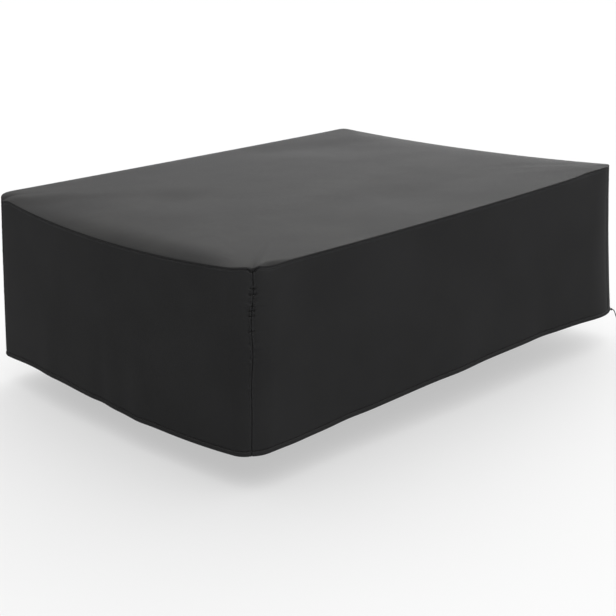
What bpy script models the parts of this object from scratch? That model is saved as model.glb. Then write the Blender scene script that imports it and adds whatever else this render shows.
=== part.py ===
"""A fitted rectangular cover of black coated cloth, in the shape in which it hangs in use.

A top panel is sewn to four skirt panels.  The skirts meet in an upright seam in each rounded
corner, and their hem is the channel of a drawcord.  The cord comes out of the channel at the
front right corner, at a stop knot, and its tail ends in a second knot.

Metres, +Z up.  The origin is on the underside of the top, at its middle, where the cover is
carried.  X runs along the long sides, Y along the short ones, and the front skirt faces -Y.
The sides run anticlockwise, seen from above: front, right, back, left.
"""

import math
from typing import NamedTuple

import bmesh
import bpy
from mathutils import Vector

# Driving dimensions.
LENGTH = 2.000            # along X, between the rims of the left and right skirts
WIDTH = 1.640             # along Y, between the rims of the front and back skirts
HEIGHT = 0.686            # from the hem's lowest level up to the middle of the top
CLOTH = 0.002             # thickness of every panel
SEAT = 0.0003             # gap between two pieces that touch
SEAM_GAP = 0.0005         # the same across an upright seam, outside the rounded corner
HEM_DEPTH = 0.019         # from the lower edge of a skirt up to its line of stitches
SKIRT_BOW = 0.006         # how far a skirt stands out between its rim and its hem

TOP_LEVEL = CLOTH         # outer face of the top at its middle
HEM_LEVEL = TOP_LEVEL - HEIGHT

# How finely the panels are divided.
CORNER_STEPS = 10         # round each corner, shared by the two skirts that meet there
LONG_STEPS = 20           # along a long side between its corners
SHORT_STEPS = 16          # along a short side between its corners
SKIRT_ROWS = (0.0, 0.07, 0.18, 0.35, 0.55, 0.78, 1.0 - HEM_DEPTH / HEIGHT, 1.0)
TOP_RINGS = (0.0, 0.010, 0.024, 0.042, 0.066, 0.100, 0.140, 0.200, 0.320, 0.500, 0.750)


class Corner(NamedTuple):
    """A rounded corner with an upright seam in it."""
    x_sign: int
    y_sign: int
    rim_drop: float       # the rim below the middle of the top
    lift: float           # the top just inside the corner above the rim there
    roll: float           # how far in from the corner's rim the top starts to bend down
    hem_rise: float       # the hem above its lowest level
    rim_radius: float
    hem_radius: float
    flare_x: float        # how far the hem stands out past the rim
    flare_y: float
    seam_share: float     # part of the rounding that the skirt before the seam takes
    stretch: float = 1.0      # how much longer its rounding is on the side before it
    rounding: float = 1.0     # over 1, it is rounded like its hem from just under the rim
    gentle: float = 0.0       # part of the drop to its rim that is spread three times as far
    droop: float = 0.0        # how much lower the rim hangs right at the seam
    hem_droop: float = 0.0    # how much lower the hem hangs round the corner


class Side(NamedTuple):
    """A side between two corners.  It starts at the corner with its own number."""
    name: str
    steps: int
    rim_bulge: float      # how far the rim stands out halfway along
    rim_sag: float        # how far the rim hangs below the corners halfway along
    sag_power: float      # under 1, the rim drops fast beside the corners and is flat between
    roll: float           # how far in from the rim the top starts to bend down to it
    gentle: float         # part of the drop to the rim that is spread three times as far
    hem_bulge: float
    hem_sag: float
    hem_skew: float       # hangs lower in the second half of the side than in the first
    gentle_skew: float = 0.0      # how much gentler the top's bend is in the first half


class Fold(NamedTuple):
    """A soft upright fold in a skirt, deepest at the hem."""
    side: str
    along: float          # fraction of the way along the side
    half_width: float
    depth: float          # positive stands out, negative falls in


class Shoulder(NamedTuple):
    """A stretch of a side where the skirt bends out softly from a rim that is drawn in."""
    side: str
    along: float          # fraction of the way along the side
    half_width: float
    depth: float
    drop: float           # how much lower the rim hangs there, as the top bends over it


class Hollow(NamedTuple):
    """A broad shallow dip in the top, where nothing carries it."""
    x: float
    y: float
    depth: float
    reach: float


CORNERS = (
    Corner(-1, -1, rim_drop=0.026, lift=0.002, roll=0.12, hem_rise=0.008, rim_radius=0.122,
           hem_radius=0.084, flare_x=0.028, flare_y=-0.022, seam_share=0.50, gentle=0.6),
    Corner(1, -1, rim_drop=0.007, lift=0.002, roll=0.05, hem_rise=0.028, rim_radius=0.050,
           hem_radius=0.094, flare_x=0.081, flare_y=0.008, seam_share=0.50, stretch=2.75,
           rounding=2.0, gentle=1.0, hem_droop=0.010),
    Corner(1, 1, rim_drop=0.000, lift=0.004, roll=0.05, hem_rise=0.012, rim_radius=0.014,
           hem_radius=0.060, flare_x=0.060, flare_y=0.030, seam_share=0.50),
    Corner(-1, 1, rim_drop=-0.003, lift=0.010, roll=0.10, hem_rise=0.009, rim_radius=0.080,
           hem_radius=0.043, flare_x=0.032, flare_y=0.026, seam_share=0.90, gentle=0.3,
           droop=0.014, hem_droop=0.012),
)
SIDES = (
    Side("front", LONG_STEPS, rim_bulge=0.016, rim_sag=0.004, sag_power=1.0, roll=0.16,
         gentle=1.0, hem_bulge=0.010, hem_sag=-0.023, hem_skew=-0.0085),
    Side("right", SHORT_STEPS, rim_bulge=0.004, rim_sag=0.021, sag_power=1.0, roll=0.30,
         gentle=0.0, hem_bulge=0.006, hem_sag=0.006, hem_skew=0.0),
    Side("back", LONG_STEPS, rim_bulge=-0.005, rim_sag=0.001, sag_power=1.0, roll=0.10,
         gentle=0.0, hem_bulge=0.008, hem_sag=-0.008, hem_skew=0.004),
    Side("left", SHORT_STEPS, rim_bulge=0.036, rim_sag=0.0355, sag_power=0.77, roll=0.13,
         gentle=0.5, hem_bulge=0.039, hem_sag=0.007, hem_skew=0.0125, gentle_skew=0.9),
)
SHOULDERS = (
    Shoulder("front", 0.034, 0.050, 0.014, drop=0.009),
    Shoulder("front", 0.925, 0.100, 0.012, drop=0.0),
)
FOLDS = (
    Fold("front", 0.08, 0.060, 0.004),
    Fold("front", 0.21, 0.075, -0.006),
    Fold("front", 0.50, 0.100, 0.008),
    Fold("front", 0.75, 0.085, -0.007),
    Fold("right", 0.25, 0.070, 0.006),
    Fold("right", 0.52, 0.090, -0.007),
    Fold("right", 0.80, 0.060, 0.005),
    Fold("back", 0.18, 0.070, -0.006),
    Fold("back", 0.45, 0.080, 0.006),
    Fold("back", 0.74, 0.070, -0.005),
    Fold("left", 0.25, 0.070, 0.004),
    Fold("left", 0.49, 0.050, -0.006),
    Fold("left", 0.64, 0.060, 0.006),
)
HOLLOWS = (
    Hollow(0.05, -0.55, 0.004, 0.26),
    Hollow(-0.60, 0.10, 0.004, 0.26),
    Hollow(0.55, 0.35, 0.004, 0.28),
)
FOLD_TOP = 0.25           # fraction of a skirt's height where its folds begin
SHOULDER_SHARE = 0.11     # fraction of a skirt's height that a soft shoulder takes
SHOULDER_ENDS = 0.20      # from a seam to a shoulder's full depth, times 4
SHOULDER_BEND = 0.026     # how far in the top starts to bend over a shoulder
DROOP_REACH = 0.045       # along the rim, to either side of a corner that droops
HEM_DROOP_REACH = 0.180   # the same along the hem
BEND_POWER = 3.2          # the higher, the closer to its rim the top bends down
GENTLE_SPREAD = 3.0       # how much further in the gentle part of the bend reaches

# The drawcord and its knots, at the front right corner.
CORD_DIAMETER = 0.004
CORD_SIDES = 2            # bevel resolution, which gives eight sides
CORD_SPACING = 0.005      # between the points of the finished tube
CURVE_STEPS = 12          # fine points between two points of the route
STOP_KNOT = 0.0055        # radius of the knot against the hem
STOP_KNOT_HEIGHT = 0.006  # the middle of that knot above the lower edge
CORD_STEP = 2             # steps round the corner from its seam to the cord's way out
END_KNOT = 0.0050         # radius of the knot on the free end
KNOT_RINGS = 8
KNOT_SEGMENTS = 14
# The tail's middle line from the middle of the stop knot: outwards, sideways and up.
CORD_ROUTE = (
    (0.0000, 0.0000, 0.0000),
    (0.0035, 0.0001, -0.0005),
    (0.0070, 0.0002, -0.0021),
    (0.0102, 0.0004, -0.0050),
    (0.0129, 0.0007, -0.0090),
    (0.0151, 0.0011, -0.0138),
    (0.0170, 0.0016, -0.0192),
    (0.0187, 0.0021, -0.0249),
    (0.0205, 0.0025, -0.0307),
    (0.0225, 0.0027, -0.0366),
    (0.0247, 0.0027, -0.0425),
    (0.0271, 0.0025, -0.0484),
    (0.0296, 0.0021, -0.0543),
    (0.0321, 0.0016, -0.0603),
    (0.0345, 0.0010, -0.0664),
    (0.0367, 0.0004, -0.0727),
    (0.0386, -0.0001, -0.0792),
    (0.0401, -0.0005, -0.0859),
    (0.0412, -0.0008, -0.0928),
    (0.0419, -0.0009, -0.0998),
)


def hump(fraction):
    """0 at both ends of a side, 1 halfway."""
    return 4 * fraction * (1 - fraction)


def blend(first, second, fraction):
    """The value between two values."""
    return first + (second - first) * fraction


def smooth(fraction):
    """A fraction eased in and out, and held between 0 and 1."""
    held = min(max(fraction, 0.0), 1.0)
    return held * held * (3 - 2 * held)


def bell(distance, reach):
    """1 at no distance, falling softly to nothing past a reach."""
    return math.exp(-(distance / reach) ** 2)


def corner_point(number, down):
    """Where two sides' straight lines cross, at a fraction of the way down the skirts."""
    corner = CORNERS[number % 4]
    x = LENGTH / 2 + corner.flare_x * down
    y = WIDTH / 2 + corner.flare_y * down
    return Vector((corner.x_sign * x, corner.y_sign * y))


def outward(number, down):
    """Level direction out of one side's straight stretch."""
    along = (corner_point(number + 1, down) - corner_point(number, down)).normalized()
    return Vector((along.y, -along.x))


def corner_arc(number, down):
    """Plan of one rounded corner: its points, their outward directions and the seam's place.

    It is a quarter of an ellipse, which is longer on the side before it.
    """
    corner = CORNERS[number % 4]
    rounded = 1 - (1 - down) ** corner.rounding
    radius = blend(corner.rim_radius, corner.hem_radius, rounded)
    before, after = outward(number - 1, down), outward(number, down)
    arriving = Vector((-before.y, before.x)) * radius * corner.stretch
    leaving = Vector((-after.y, after.x)) * radius
    start = corner_point(number, down) - arriving + leaving
    seam = round(CORNER_STEPS * corner.seam_share)
    shares = [corner.seam_share * step / seam for step in range(seam)]
    left = CORNER_STEPS - seam
    shares += [blend(corner.seam_share, 1, step / left) for step in range(left + 1)]
    angles = [math.pi / 2 * share for share in shares]
    points = [start + arriving * math.sin(angle) - leaving * math.cos(angle)
              for angle in angles]
    along = [arriving * math.cos(angle) + leaving * math.sin(angle) for angle in angles]
    return points, [Vector((way.y, -way.x)).normalized() for way in along], seam


def side_plan(number, down):
    """Plan of one side: its points, their outward directions and fractions of the way.

    It runs from the seam in one corner to the seam in the next.
    """
    start_points, start_directions, start_seam = corner_arc(number, down)
    end_points, end_directions, end_seam = corner_arc(number + 1, down)
    steps = SIDES[number].steps
    out = outward(number, down)
    straight = [start_points[-1].lerp(end_points[0], step / steps) for step in range(1, steps)]
    points = start_points[start_seam:] + straight + end_points[:end_seam + 1]
    directions = start_directions[start_seam:] + [out] * len(straight)
    directions += end_directions[:end_seam + 1]

    travelled = [0.0]
    for before, after in zip(points, points[1:]):
        travelled.append(travelled[-1] + (after - before).length)
    fractions = [distance / travelled[-1] for distance in travelled]
    return points, directions, fractions


def side_span(number):
    """Length of one side between its corners, without its bulge."""
    return LENGTH if SIDES[number].steps == LONG_STEPS else WIDTH


def shoulders_at(number, fraction):
    """A side's soft shoulders, each with its strength at a point, 0 to 1."""
    side, span = SIDES[number], side_span(number)
    ends = smooth(hump(fraction) * span / SHOULDER_ENDS)
    return [(shoulder, ends * bell((fraction - shoulder.along) * span, shoulder.half_width))
            for shoulder in SHOULDERS if shoulder.side == side.name]


def shoulder_drop(number, fraction):
    """How much lower the rim hangs at the soft shoulders."""
    return sum(shoulder.drop * here for shoulder, here in shoulders_at(number, fraction))


def rim_level(number, fraction):
    """Height of the top's edge along one side."""
    side, start, end = SIDES[number], CORNERS[number], CORNERS[(number + 1) % 4]
    level = TOP_LEVEL - blend(start.rim_drop, end.rim_drop, fraction)
    level -= start.droop * bell(fraction * side_span(number), DROOP_REACH)
    level -= end.droop * bell((1 - fraction) * side_span(number), DROOP_REACH)
    level -= side.rim_sag * hump(fraction) ** side.sag_power
    return level - shoulder_drop(number, fraction)


def hem_level(number, fraction):
    """Height of the hem's lower edge along one side."""
    side, start, end = SIDES[number], CORNERS[number], CORNERS[(number + 1) % 4]
    level = HEM_LEVEL + blend(start.hem_rise, end.hem_rise, fraction)
    level -= start.hem_droop * bell(fraction * side_span(number), HEM_DROOP_REACH)
    level -= end.hem_droop * bell((1 - fraction) * side_span(number), HEM_DROOP_REACH)
    level -= side.hem_sag * hump(fraction)
    return level - side.hem_skew * hump(fraction) * (4 * fraction - 2)


def fold_depth(number, fraction, down):
    """How far the soft folds move a point of a skirt outwards."""
    side = SIDES[number]
    growth = smooth((down - FOLD_TOP) / (1 - FOLD_TOP))
    depth = sum(fold.depth * bell((fraction - fold.along) * side_span(number), fold.half_width)
                for fold in FOLDS if fold.side == side.name)
    return depth * growth * smooth(hump(fraction) * 2)


def shoulder_depth(number, fraction, down):
    """How far in the soft shoulders draw a point of a skirt."""
    depth = sum(shoulder.depth * here for shoulder, here in shoulders_at(number, fraction))
    return depth * max(1 - down / SHOULDER_SHARE, 0.0) ** 2


def skirt_row(number, down, upper_gap=0.0):
    """Points across one skirt's outer face at a fraction of the way down it."""
    side = SIDES[number]
    row = []
    for point, direction, fraction in zip(*side_plan(number, down)):
        out = blend(side.rim_bulge, side.hem_bulge, down) * hump(fraction)
        out += SKIRT_BOW * hump(down) * math.sqrt(hump(fraction))
        out += fold_depth(number, fraction, down)
        out -= shoulder_depth(number, fraction, down)
        plan = point + direction * out
        rim = rim_level(number, fraction) - upper_gap
        row.append(Vector((plan.x, plan.y, blend(rim, hem_level(number, fraction), down))))
    return row


def skirt_grid(number):
    """Outer face of one skirt: a row of points for each level, from the rim to the hem."""
    rows = [skirt_row(number, down, CLOTH + SEAT) for down in SKIRT_ROWS]
    for row in rows:
        row[0] += (row[1] - row[0]).normalized() * SEAM_GAP / 2
        row[-1] += (row[-2] - row[-1]).normalized() * SEAM_GAP / 2
    return rows


def top_base(x, y):
    """Height of the top's outer face away from its rims."""
    levels = [corner.lift - corner.rim_drop for corner in CORNERS]
    u = min(max(x / LENGTH + 0.5, 0.0), 1.0)
    v = min(max(y / WIDTH + 0.5, 0.0), 1.0)
    across = blend(blend(levels[0], levels[1], u), blend(levels[3], levels[2], u), v)
    crown = -sum(levels) / len(levels)
    level = TOP_LEVEL + across + crown * hump(u) * hump(v)
    for hollow in HOLLOWS:
        distance = math.hypot(x - hollow.x, y - hollow.y) / hollow.reach
        level -= hollow.depth * smooth(1 - distance)
    return level


def rim_bend(number, fraction):
    """How the top bends to its rim: over what part of the way in, and how much is gentle."""
    side, corner = SIDES[number], CORNERS[(number + round(fraction)) % 4]
    half_way = side_span((number + 1) % 4) / 2
    diagonal = math.hypot(LENGTH / 2, WIDTH / 2)
    away = smooth(hump(fraction) * 2)
    roll = blend(corner.roll / diagonal, side.roll / half_way, away)
    gentle = side.gentle * (1 + side.gentle_skew * (1 - 2 * fraction))
    return roll, blend(corner.gentle, gentle, away)


def top_rings():
    """Outer face of the top: rings of points from the rim inwards, each a smaller copy."""
    rings = [[] for _ in TOP_RINGS]
    for number in range(4):
        fractions = side_plan(number, 0.0)[2]
        for point, fraction in list(zip(skirt_row(number, 0.0), fractions))[:-1]:
            shoulder = shoulder_drop(number, fraction)
            drop = point.z + shoulder - top_base(point.x, point.y)
            roll, gentle = rim_bend(number, fraction)
            reach = math.hypot(point.x, point.y)
            for ring, inward in zip(rings, TOP_RINGS):
                x, y = point.x * (1 - inward), point.y * (1 - inward)
                steep = max(1 - inward / roll, 0.0) ** BEND_POWER
                slow = max(1 - inward / (roll * GENTLE_SPREAD), 0.0) ** 2
                bend = blend(steep, slow, gentle)
                over = max(1 - inward * reach / SHOULDER_BEND, 0.0) ** 2
                ring.append(Vector((x, y, top_base(x, y) + drop * bend - shoulder * over)))
    return rings


def make_material(name, colour, roughness, sheen):
    """A plain cloth or cord material."""
    material = bpy.data.materials.new(name)
    material.use_nodes = True
    shader = material.node_tree.nodes["Principled BSDF"]
    shader.inputs["Base Color"].default_value = (*colour, 1)
    shader.inputs["Roughness"].default_value = roughness
    shader.inputs["Metallic"].default_value = 0.0
    shader.inputs["Sheen Weight"].default_value = sheen
    return material


def place_object(name, data, material, collection):
    """Put a mesh or a curve in the scene under the piece's name."""
    piece = bpy.data.objects.new(name, data)
    data.materials.append(material)
    collection.objects.link(piece)
    return piece


def make_panel(name, rows, closed, material, collection):
    """A sheet of cloth from rows of points on its outer face, thickened inwards.

    A closed panel's rows are rings, and its last ring is closed by a point in the middle.
    """
    mesh = bpy.data.meshes.new(name)
    surface = bmesh.new()
    grid = [[surface.verts.new(point) for point in row] for row in rows]
    columns = len(rows[0])
    for upper, lower in zip(grid, grid[1:]):
        for column in range(columns if closed else columns - 1):
            following = (column + 1) % columns
            corners = (upper[column], upper[following], lower[following], lower[column])
            surface.faces.new(corners if closed else corners[::-1])
    if closed:
        middle = surface.verts.new((0, 0, TOP_LEVEL))
        for column in range(columns):
            surface.faces.new((grid[-1][column], grid[-1][(column + 1) % columns], middle))
    surface.to_mesh(mesh)
    surface.free()
    mesh.shade_smooth()
    panel = place_object(name, mesh, material, collection)
    thickness = panel.modifiers.new("cloth", 'SOLIDIFY')
    thickness.thickness = CLOTH
    thickness.offset = -1
    thickness.use_even_offset = True
    return panel


def make_knot(name, middle, radius, material, collection):
    """The outer shape of a tight knot, a little flattened."""
    bpy.ops.mesh.primitive_uv_sphere_add(
        segments=KNOT_SEGMENTS, ring_count=KNOT_RINGS, radius=radius, location=middle)
    knot = bpy.context.object
    knot.name = name
    knot.data.name = name
    knot.data.materials.append(material)
    knot.data.shade_smooth()
    for owner in list(knot.users_collection):
        owner.objects.unlink(knot)
    collection.objects.link(knot)
    return knot


def smooth_path(points, spacing):
    """Points at an even spacing on a smooth curve through a list of points."""
    padded = [points[0] * 2 - points[1], *points, points[-1] * 2 - points[-2]]
    fine = []
    for a, b, c, d in zip(padded, padded[1:], padded[2:], padded[3:]):
        for step in range(CURVE_STEPS):
            t = step / CURVE_STEPS
            fine.append(0.5 * (b * 2 + (c - a) * t + (a * 2 - b * 5 + c * 4 - d) * t * t
                               + (b * 3 - a - c * 3 + d) * t * t * t))
    fine.append(points[-1])
    path, travelled = [fine[0]], 0.0
    for before, after in zip(fine, fine[1:]):
        travelled += (after - before).length
        if travelled >= spacing:
            path.append(after)
            travelled = 0.0
    if (path[-1] - fine[-1]).length < spacing / 2:
        path.pop()
    path.append(fine[-1])
    return path


def make_cord(name, points, material, collection):
    """A round cord along a list of points."""
    curve = bpy.data.curves.new(name, 'CURVE')
    curve.dimensions = '3D'
    curve.bevel_depth = CORD_DIAMETER / 2
    curve.bevel_resolution = CORD_SIDES
    curve.use_fill_caps = True
    spline = curve.splines.new('POLY')
    spline.points.add(len(points) - 1)
    for slot, point in zip(spline.points, points):
        slot.co = (*point, 1)
    return place_object(name, curve, material, collection)


def cord_exit():
    """Where the cord leaves the hem, in the rounded front right corner, and the way out."""
    rows = skirt_grid(1)
    direction = side_plan(1, 1.0)[1][CORD_STEP]
    foot, above = rows[-1][CORD_STEP], rows[-2][CORD_STEP]
    height = STOP_KNOT_HEIGHT / (above - foot).length
    return foot.lerp(above, height), Vector((*direction, 0)).normalized()


def build():
    """Make the cover's five panels, its drawcord's tail and the two knots."""
    for leftover in list(bpy.data.objects):
        bpy.data.objects.remove(leftover, do_unlink=True)
    collection = bpy.data.collections.new("fitted_cover")
    bpy.context.scene.collection.children.link(collection)
    cloth = make_material("black_coated_cloth", colour=(0.022, 0.022, 0.023), roughness=0.6,
                          sheen=0.1)
    cord = make_material("black_cord", colour=(0.015, 0.015, 0.016), roughness=0.7, sheen=0.2)

    make_panel("top_panel", top_rings(), True, cloth, collection)
    for number, side in enumerate(SIDES):
        make_panel(side.name + "_skirt", skirt_grid(number), False, cloth, collection)

    seam, out = cord_exit()
    stop = seam + out * (STOP_KNOT + SEAT)
    make_knot("drawcord_stop_knot", stop, STOP_KNOT, cord, collection)
    sideways = Vector((-out.y, out.x, 0))
    route = [stop + out * step[0] + sideways * step[1] + Vector((0, 0, step[2]))
             for step in CORD_ROUTE]
    path = smooth_path(route, CORD_SPACING)
    bare = [point for point in path if (point - stop).length > STOP_KNOT + SEAT]
    leaving = bare[0] - stop
    bare.insert(0, stop + leaving.normalized() * (STOP_KNOT + SEAT))
    make_cord("drawcord_tail", bare, cord, collection)
    ending = (path[-1] - path[-2]).normalized()
    make_knot("drawcord_end_knot", path[-1] + ending * (END_KNOT + SEAT), END_KNOT,
              cord, collection)


if __name__ == "__main__":
    build()
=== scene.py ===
"""The looks of a fitted rectangular cover of black coated cloth, in its hanging shape.

A top panel is sewn to four skirts.  The skirts meet in an upright seam in each rounded
corner, and their hem is turned up as the channel of a drawcord, whose tail hangs from the
front right corner between two knots.

Metres, +Z up.  The origin is on the underside of the top, at its middle.  X runs along the
long sides, and the front skirt faces -Y.  Sides and corners are numbered anticlockwise, seen
from above: front, right, back, left, each side starting at the corner with its own number.
"""

import logging
import math
from dataclasses import dataclass, field
from enum import Enum
from functools import reduce

import bpy
import numpy as np
from mathutils import Matrix, Vector


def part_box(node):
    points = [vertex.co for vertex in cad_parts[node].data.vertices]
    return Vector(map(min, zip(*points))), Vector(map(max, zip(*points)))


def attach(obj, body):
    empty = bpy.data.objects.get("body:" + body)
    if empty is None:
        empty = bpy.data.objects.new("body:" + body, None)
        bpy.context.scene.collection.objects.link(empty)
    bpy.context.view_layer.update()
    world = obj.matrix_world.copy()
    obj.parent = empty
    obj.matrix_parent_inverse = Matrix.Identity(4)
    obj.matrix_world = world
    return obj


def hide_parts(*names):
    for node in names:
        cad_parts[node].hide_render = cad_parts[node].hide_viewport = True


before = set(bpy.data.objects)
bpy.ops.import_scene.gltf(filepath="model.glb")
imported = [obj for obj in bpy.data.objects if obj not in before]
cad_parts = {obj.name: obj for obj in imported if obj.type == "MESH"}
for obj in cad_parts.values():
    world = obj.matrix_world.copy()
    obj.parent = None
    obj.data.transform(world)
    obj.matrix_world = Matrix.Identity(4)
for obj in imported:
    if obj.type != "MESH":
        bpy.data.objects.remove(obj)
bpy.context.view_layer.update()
BODY = "root"

log = logging.getLogger("cover")

Array = np.ndarray
Number = float | Array
Pair = tuple[float, float]
Triple = tuple[float, float, float]
Piece = bpy.types.Object
Socket = bpy.types.NodeSocket
Value = float | tuple | str | Socket | bpy.types.ID

MOST_NOISE = (0.3, 0.7)       # where most of a noise's values lie


def hump(fraction: Number) -> Number:
    """0 at both ends of a stretch, 1 halfway."""
    return 4 * fraction * (1 - fraction)


def blend(first: Number, second: Number, fraction: Number) -> Number:
    """The value between two values."""
    return first + (second - first) * fraction


def ease(fraction: Number) -> Number:
    """A fraction eased in and out, and held between 0 and 1."""
    held = np.clip(fraction, 0.0, 1.0)
    return held * held * (3 - 2 * held)


def bell(distance: Number, reach: float) -> Number:
    """1 at no distance, falling softly to nothing past a reach."""
    return np.exp(-(distance / reach) ** 2)


def spaced(values: Array, least: float) -> Array:
    """Sort some values and leave out those that come too soon after the one before.

    Args:
        values: the values.
        least: the least step between two that stay.

    Returns:
        The values that stay, in order.
    """
    kept = []
    for value in np.sort(values):
        if not kept or value - kept[-1] >= least:
            kept.append(float(value))
    return np.array(kept)


def travelled(points: Array) -> Array:
    """Distance along a line of points from its first point to each."""
    steps = np.linalg.norm(np.diff(points, axis=0), axis=1)
    return np.concatenate([[0.0], np.cumsum(steps)])


# ---------------------------------------------------------------- the cover's hanging shape

class Side(Enum):
    """The four skirts, by the number of the corner where each starts."""

    FRONT = 0
    RIGHT = 1
    BACK = 2
    LEFT = 3

    @property
    def node(self) -> str:
        """Name of this skirt's node."""
        return self.name.lower() + "_skirt"


@dataclass(frozen=True)
class CrossCrease:
    """A short level crease across an upright seam that is gathered."""

    below: float          # the rim
    half_height: float
    reach: float          # to either side of the seam
    depth: float          # positive falls in, negative stands out


@dataclass(frozen=True)
class CornerForm:
    """A rounded corner with an upright seam in it."""

    x_sign: int
    y_sign: int
    rim_drop: float       # the rim below the middle of the top
    lift: float           # the top just inside the corner above the rim there
    roll: float           # how far in from the corner's rim the top starts to bend down
    hem_rise: float       # the hem above its lowest level
    rim_radius: float
    hem_radius: float
    flare_x: float        # how far the hem stands out past the rim
    flare_y: float
    seam_share: float     # part of the rounding that the skirt before the seam takes
    seam_pull: float      # how tightly the upright seam gathers the cloth, usually about 1
    stretch: float = 1.0      # how much longer its rounding is on the side before it
    rounding: float = 1.0     # over 1, it is rounded like its hem from just under the rim
    gentle: float = 0.0       # part of the drop to its rim that is spread three times as far
    droop: float = 0.0        # how much lower the rim hangs right at the seam
    hem_droop: float = 0.0    # how much lower the hem hangs round the corner
    tuck: float = 0.0         # depth of the small dent where the seam meets the rim
    valley: float = 0.0       # how far the upper part of the seam draws the cloth in
    creases: tuple[CrossCrease, ...] = ()


@dataclass(frozen=True)
class SideForm:
    """A side between two corners."""

    rim_bulge: float      # how far the rim stands out halfway along
    rim_sag: float        # how far the rim hangs below the corners halfway along
    sag_power: float      # under 1, the rim drops fast beside the corners and is flat between
    roll: float           # how far in from the rim the top starts to bend down to it
    gentle: float         # part of the drop to the rim that is spread three times as far
    hem_bulge: float
    hem_sag: float
    hem_skew: float       # hangs lower in the second half of the side than in the first
    gentle_skew: float = 0.0      # how much gentler the top's bend is in the first half


@dataclass(frozen=True)
class SoftFold:
    """A soft upright fold in a skirt, deepest at the hem."""

    side: Side
    along: float          # fraction of the way along the side
    half_width: float
    depth: float          # positive stands out, negative falls in


@dataclass(frozen=True)
class Shoulder:
    """A stretch of a side where the skirt bends out softly from a rim that is drawn in."""

    side: Side
    along: float          # fraction of the way along the side
    half_width: float
    depth: float
    drop: float           # how much lower the rim hangs there, as the top bends over it
    softness: float       # how much of the rim's seam is drawn out flat there, 0 to 1


@dataclass(frozen=True)
class Hollow:
    """A broad shallow dip in the top, where nothing carries it."""

    x: float
    y: float
    depth: float
    reach: float


@dataclass(frozen=True)
class Ridge:
    """A long soft ridge in the top, or a trough, between two places."""

    start: Pair
    end: Pair
    height: float         # positive stands up, negative sinks in
    half_width: float
    fading: float = 1.2   # the higher, the sooner it has its full height

    def rise(self, x: Array, y: Array) -> Array:
        """How much it lifts the top.

        Args:
            x: places along the long sides.
            y: places along the short sides.

        Returns:
            The lift at each place.
        """
        first, last = np.array(self.start), np.array(self.end)
        span = np.linalg.norm(last - first)
        along = (last - first) / span
        run = (x - first[0]) * along[0] + (y - first[1]) * along[1]
        beside = (y - first[1]) * along[0] - (x - first[0]) * along[1]
        fade = ease(self.fading * hump(np.clip(run / span, 0, 1)))
        return self.height * fade * bell(beside, self.half_width)


@dataclass(frozen=True)
class Plan:
    """One side seen from above at one level: a fine line, with the way out at each point."""

    points: Array
    outwards: Array
    distances: Array

    @property
    def length(self) -> float:
        """Length of the side at this level, from seam to seam."""
        return float(self.distances[-1])

    def at(self, distance: Array) -> tuple[Array, Array]:
        """Read the line.

        Args:
            distance: distances from its start.

        Returns:
            The points and the unit directions outwards there.
        """
        point, outward = [
            np.stack([np.interp(distance, self.distances, values) for values in line.T], axis=1)
            for line in (self.points, self.outwards)]
        return point, outward / np.linalg.norm(outward, axis=1)[:, None]


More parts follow.
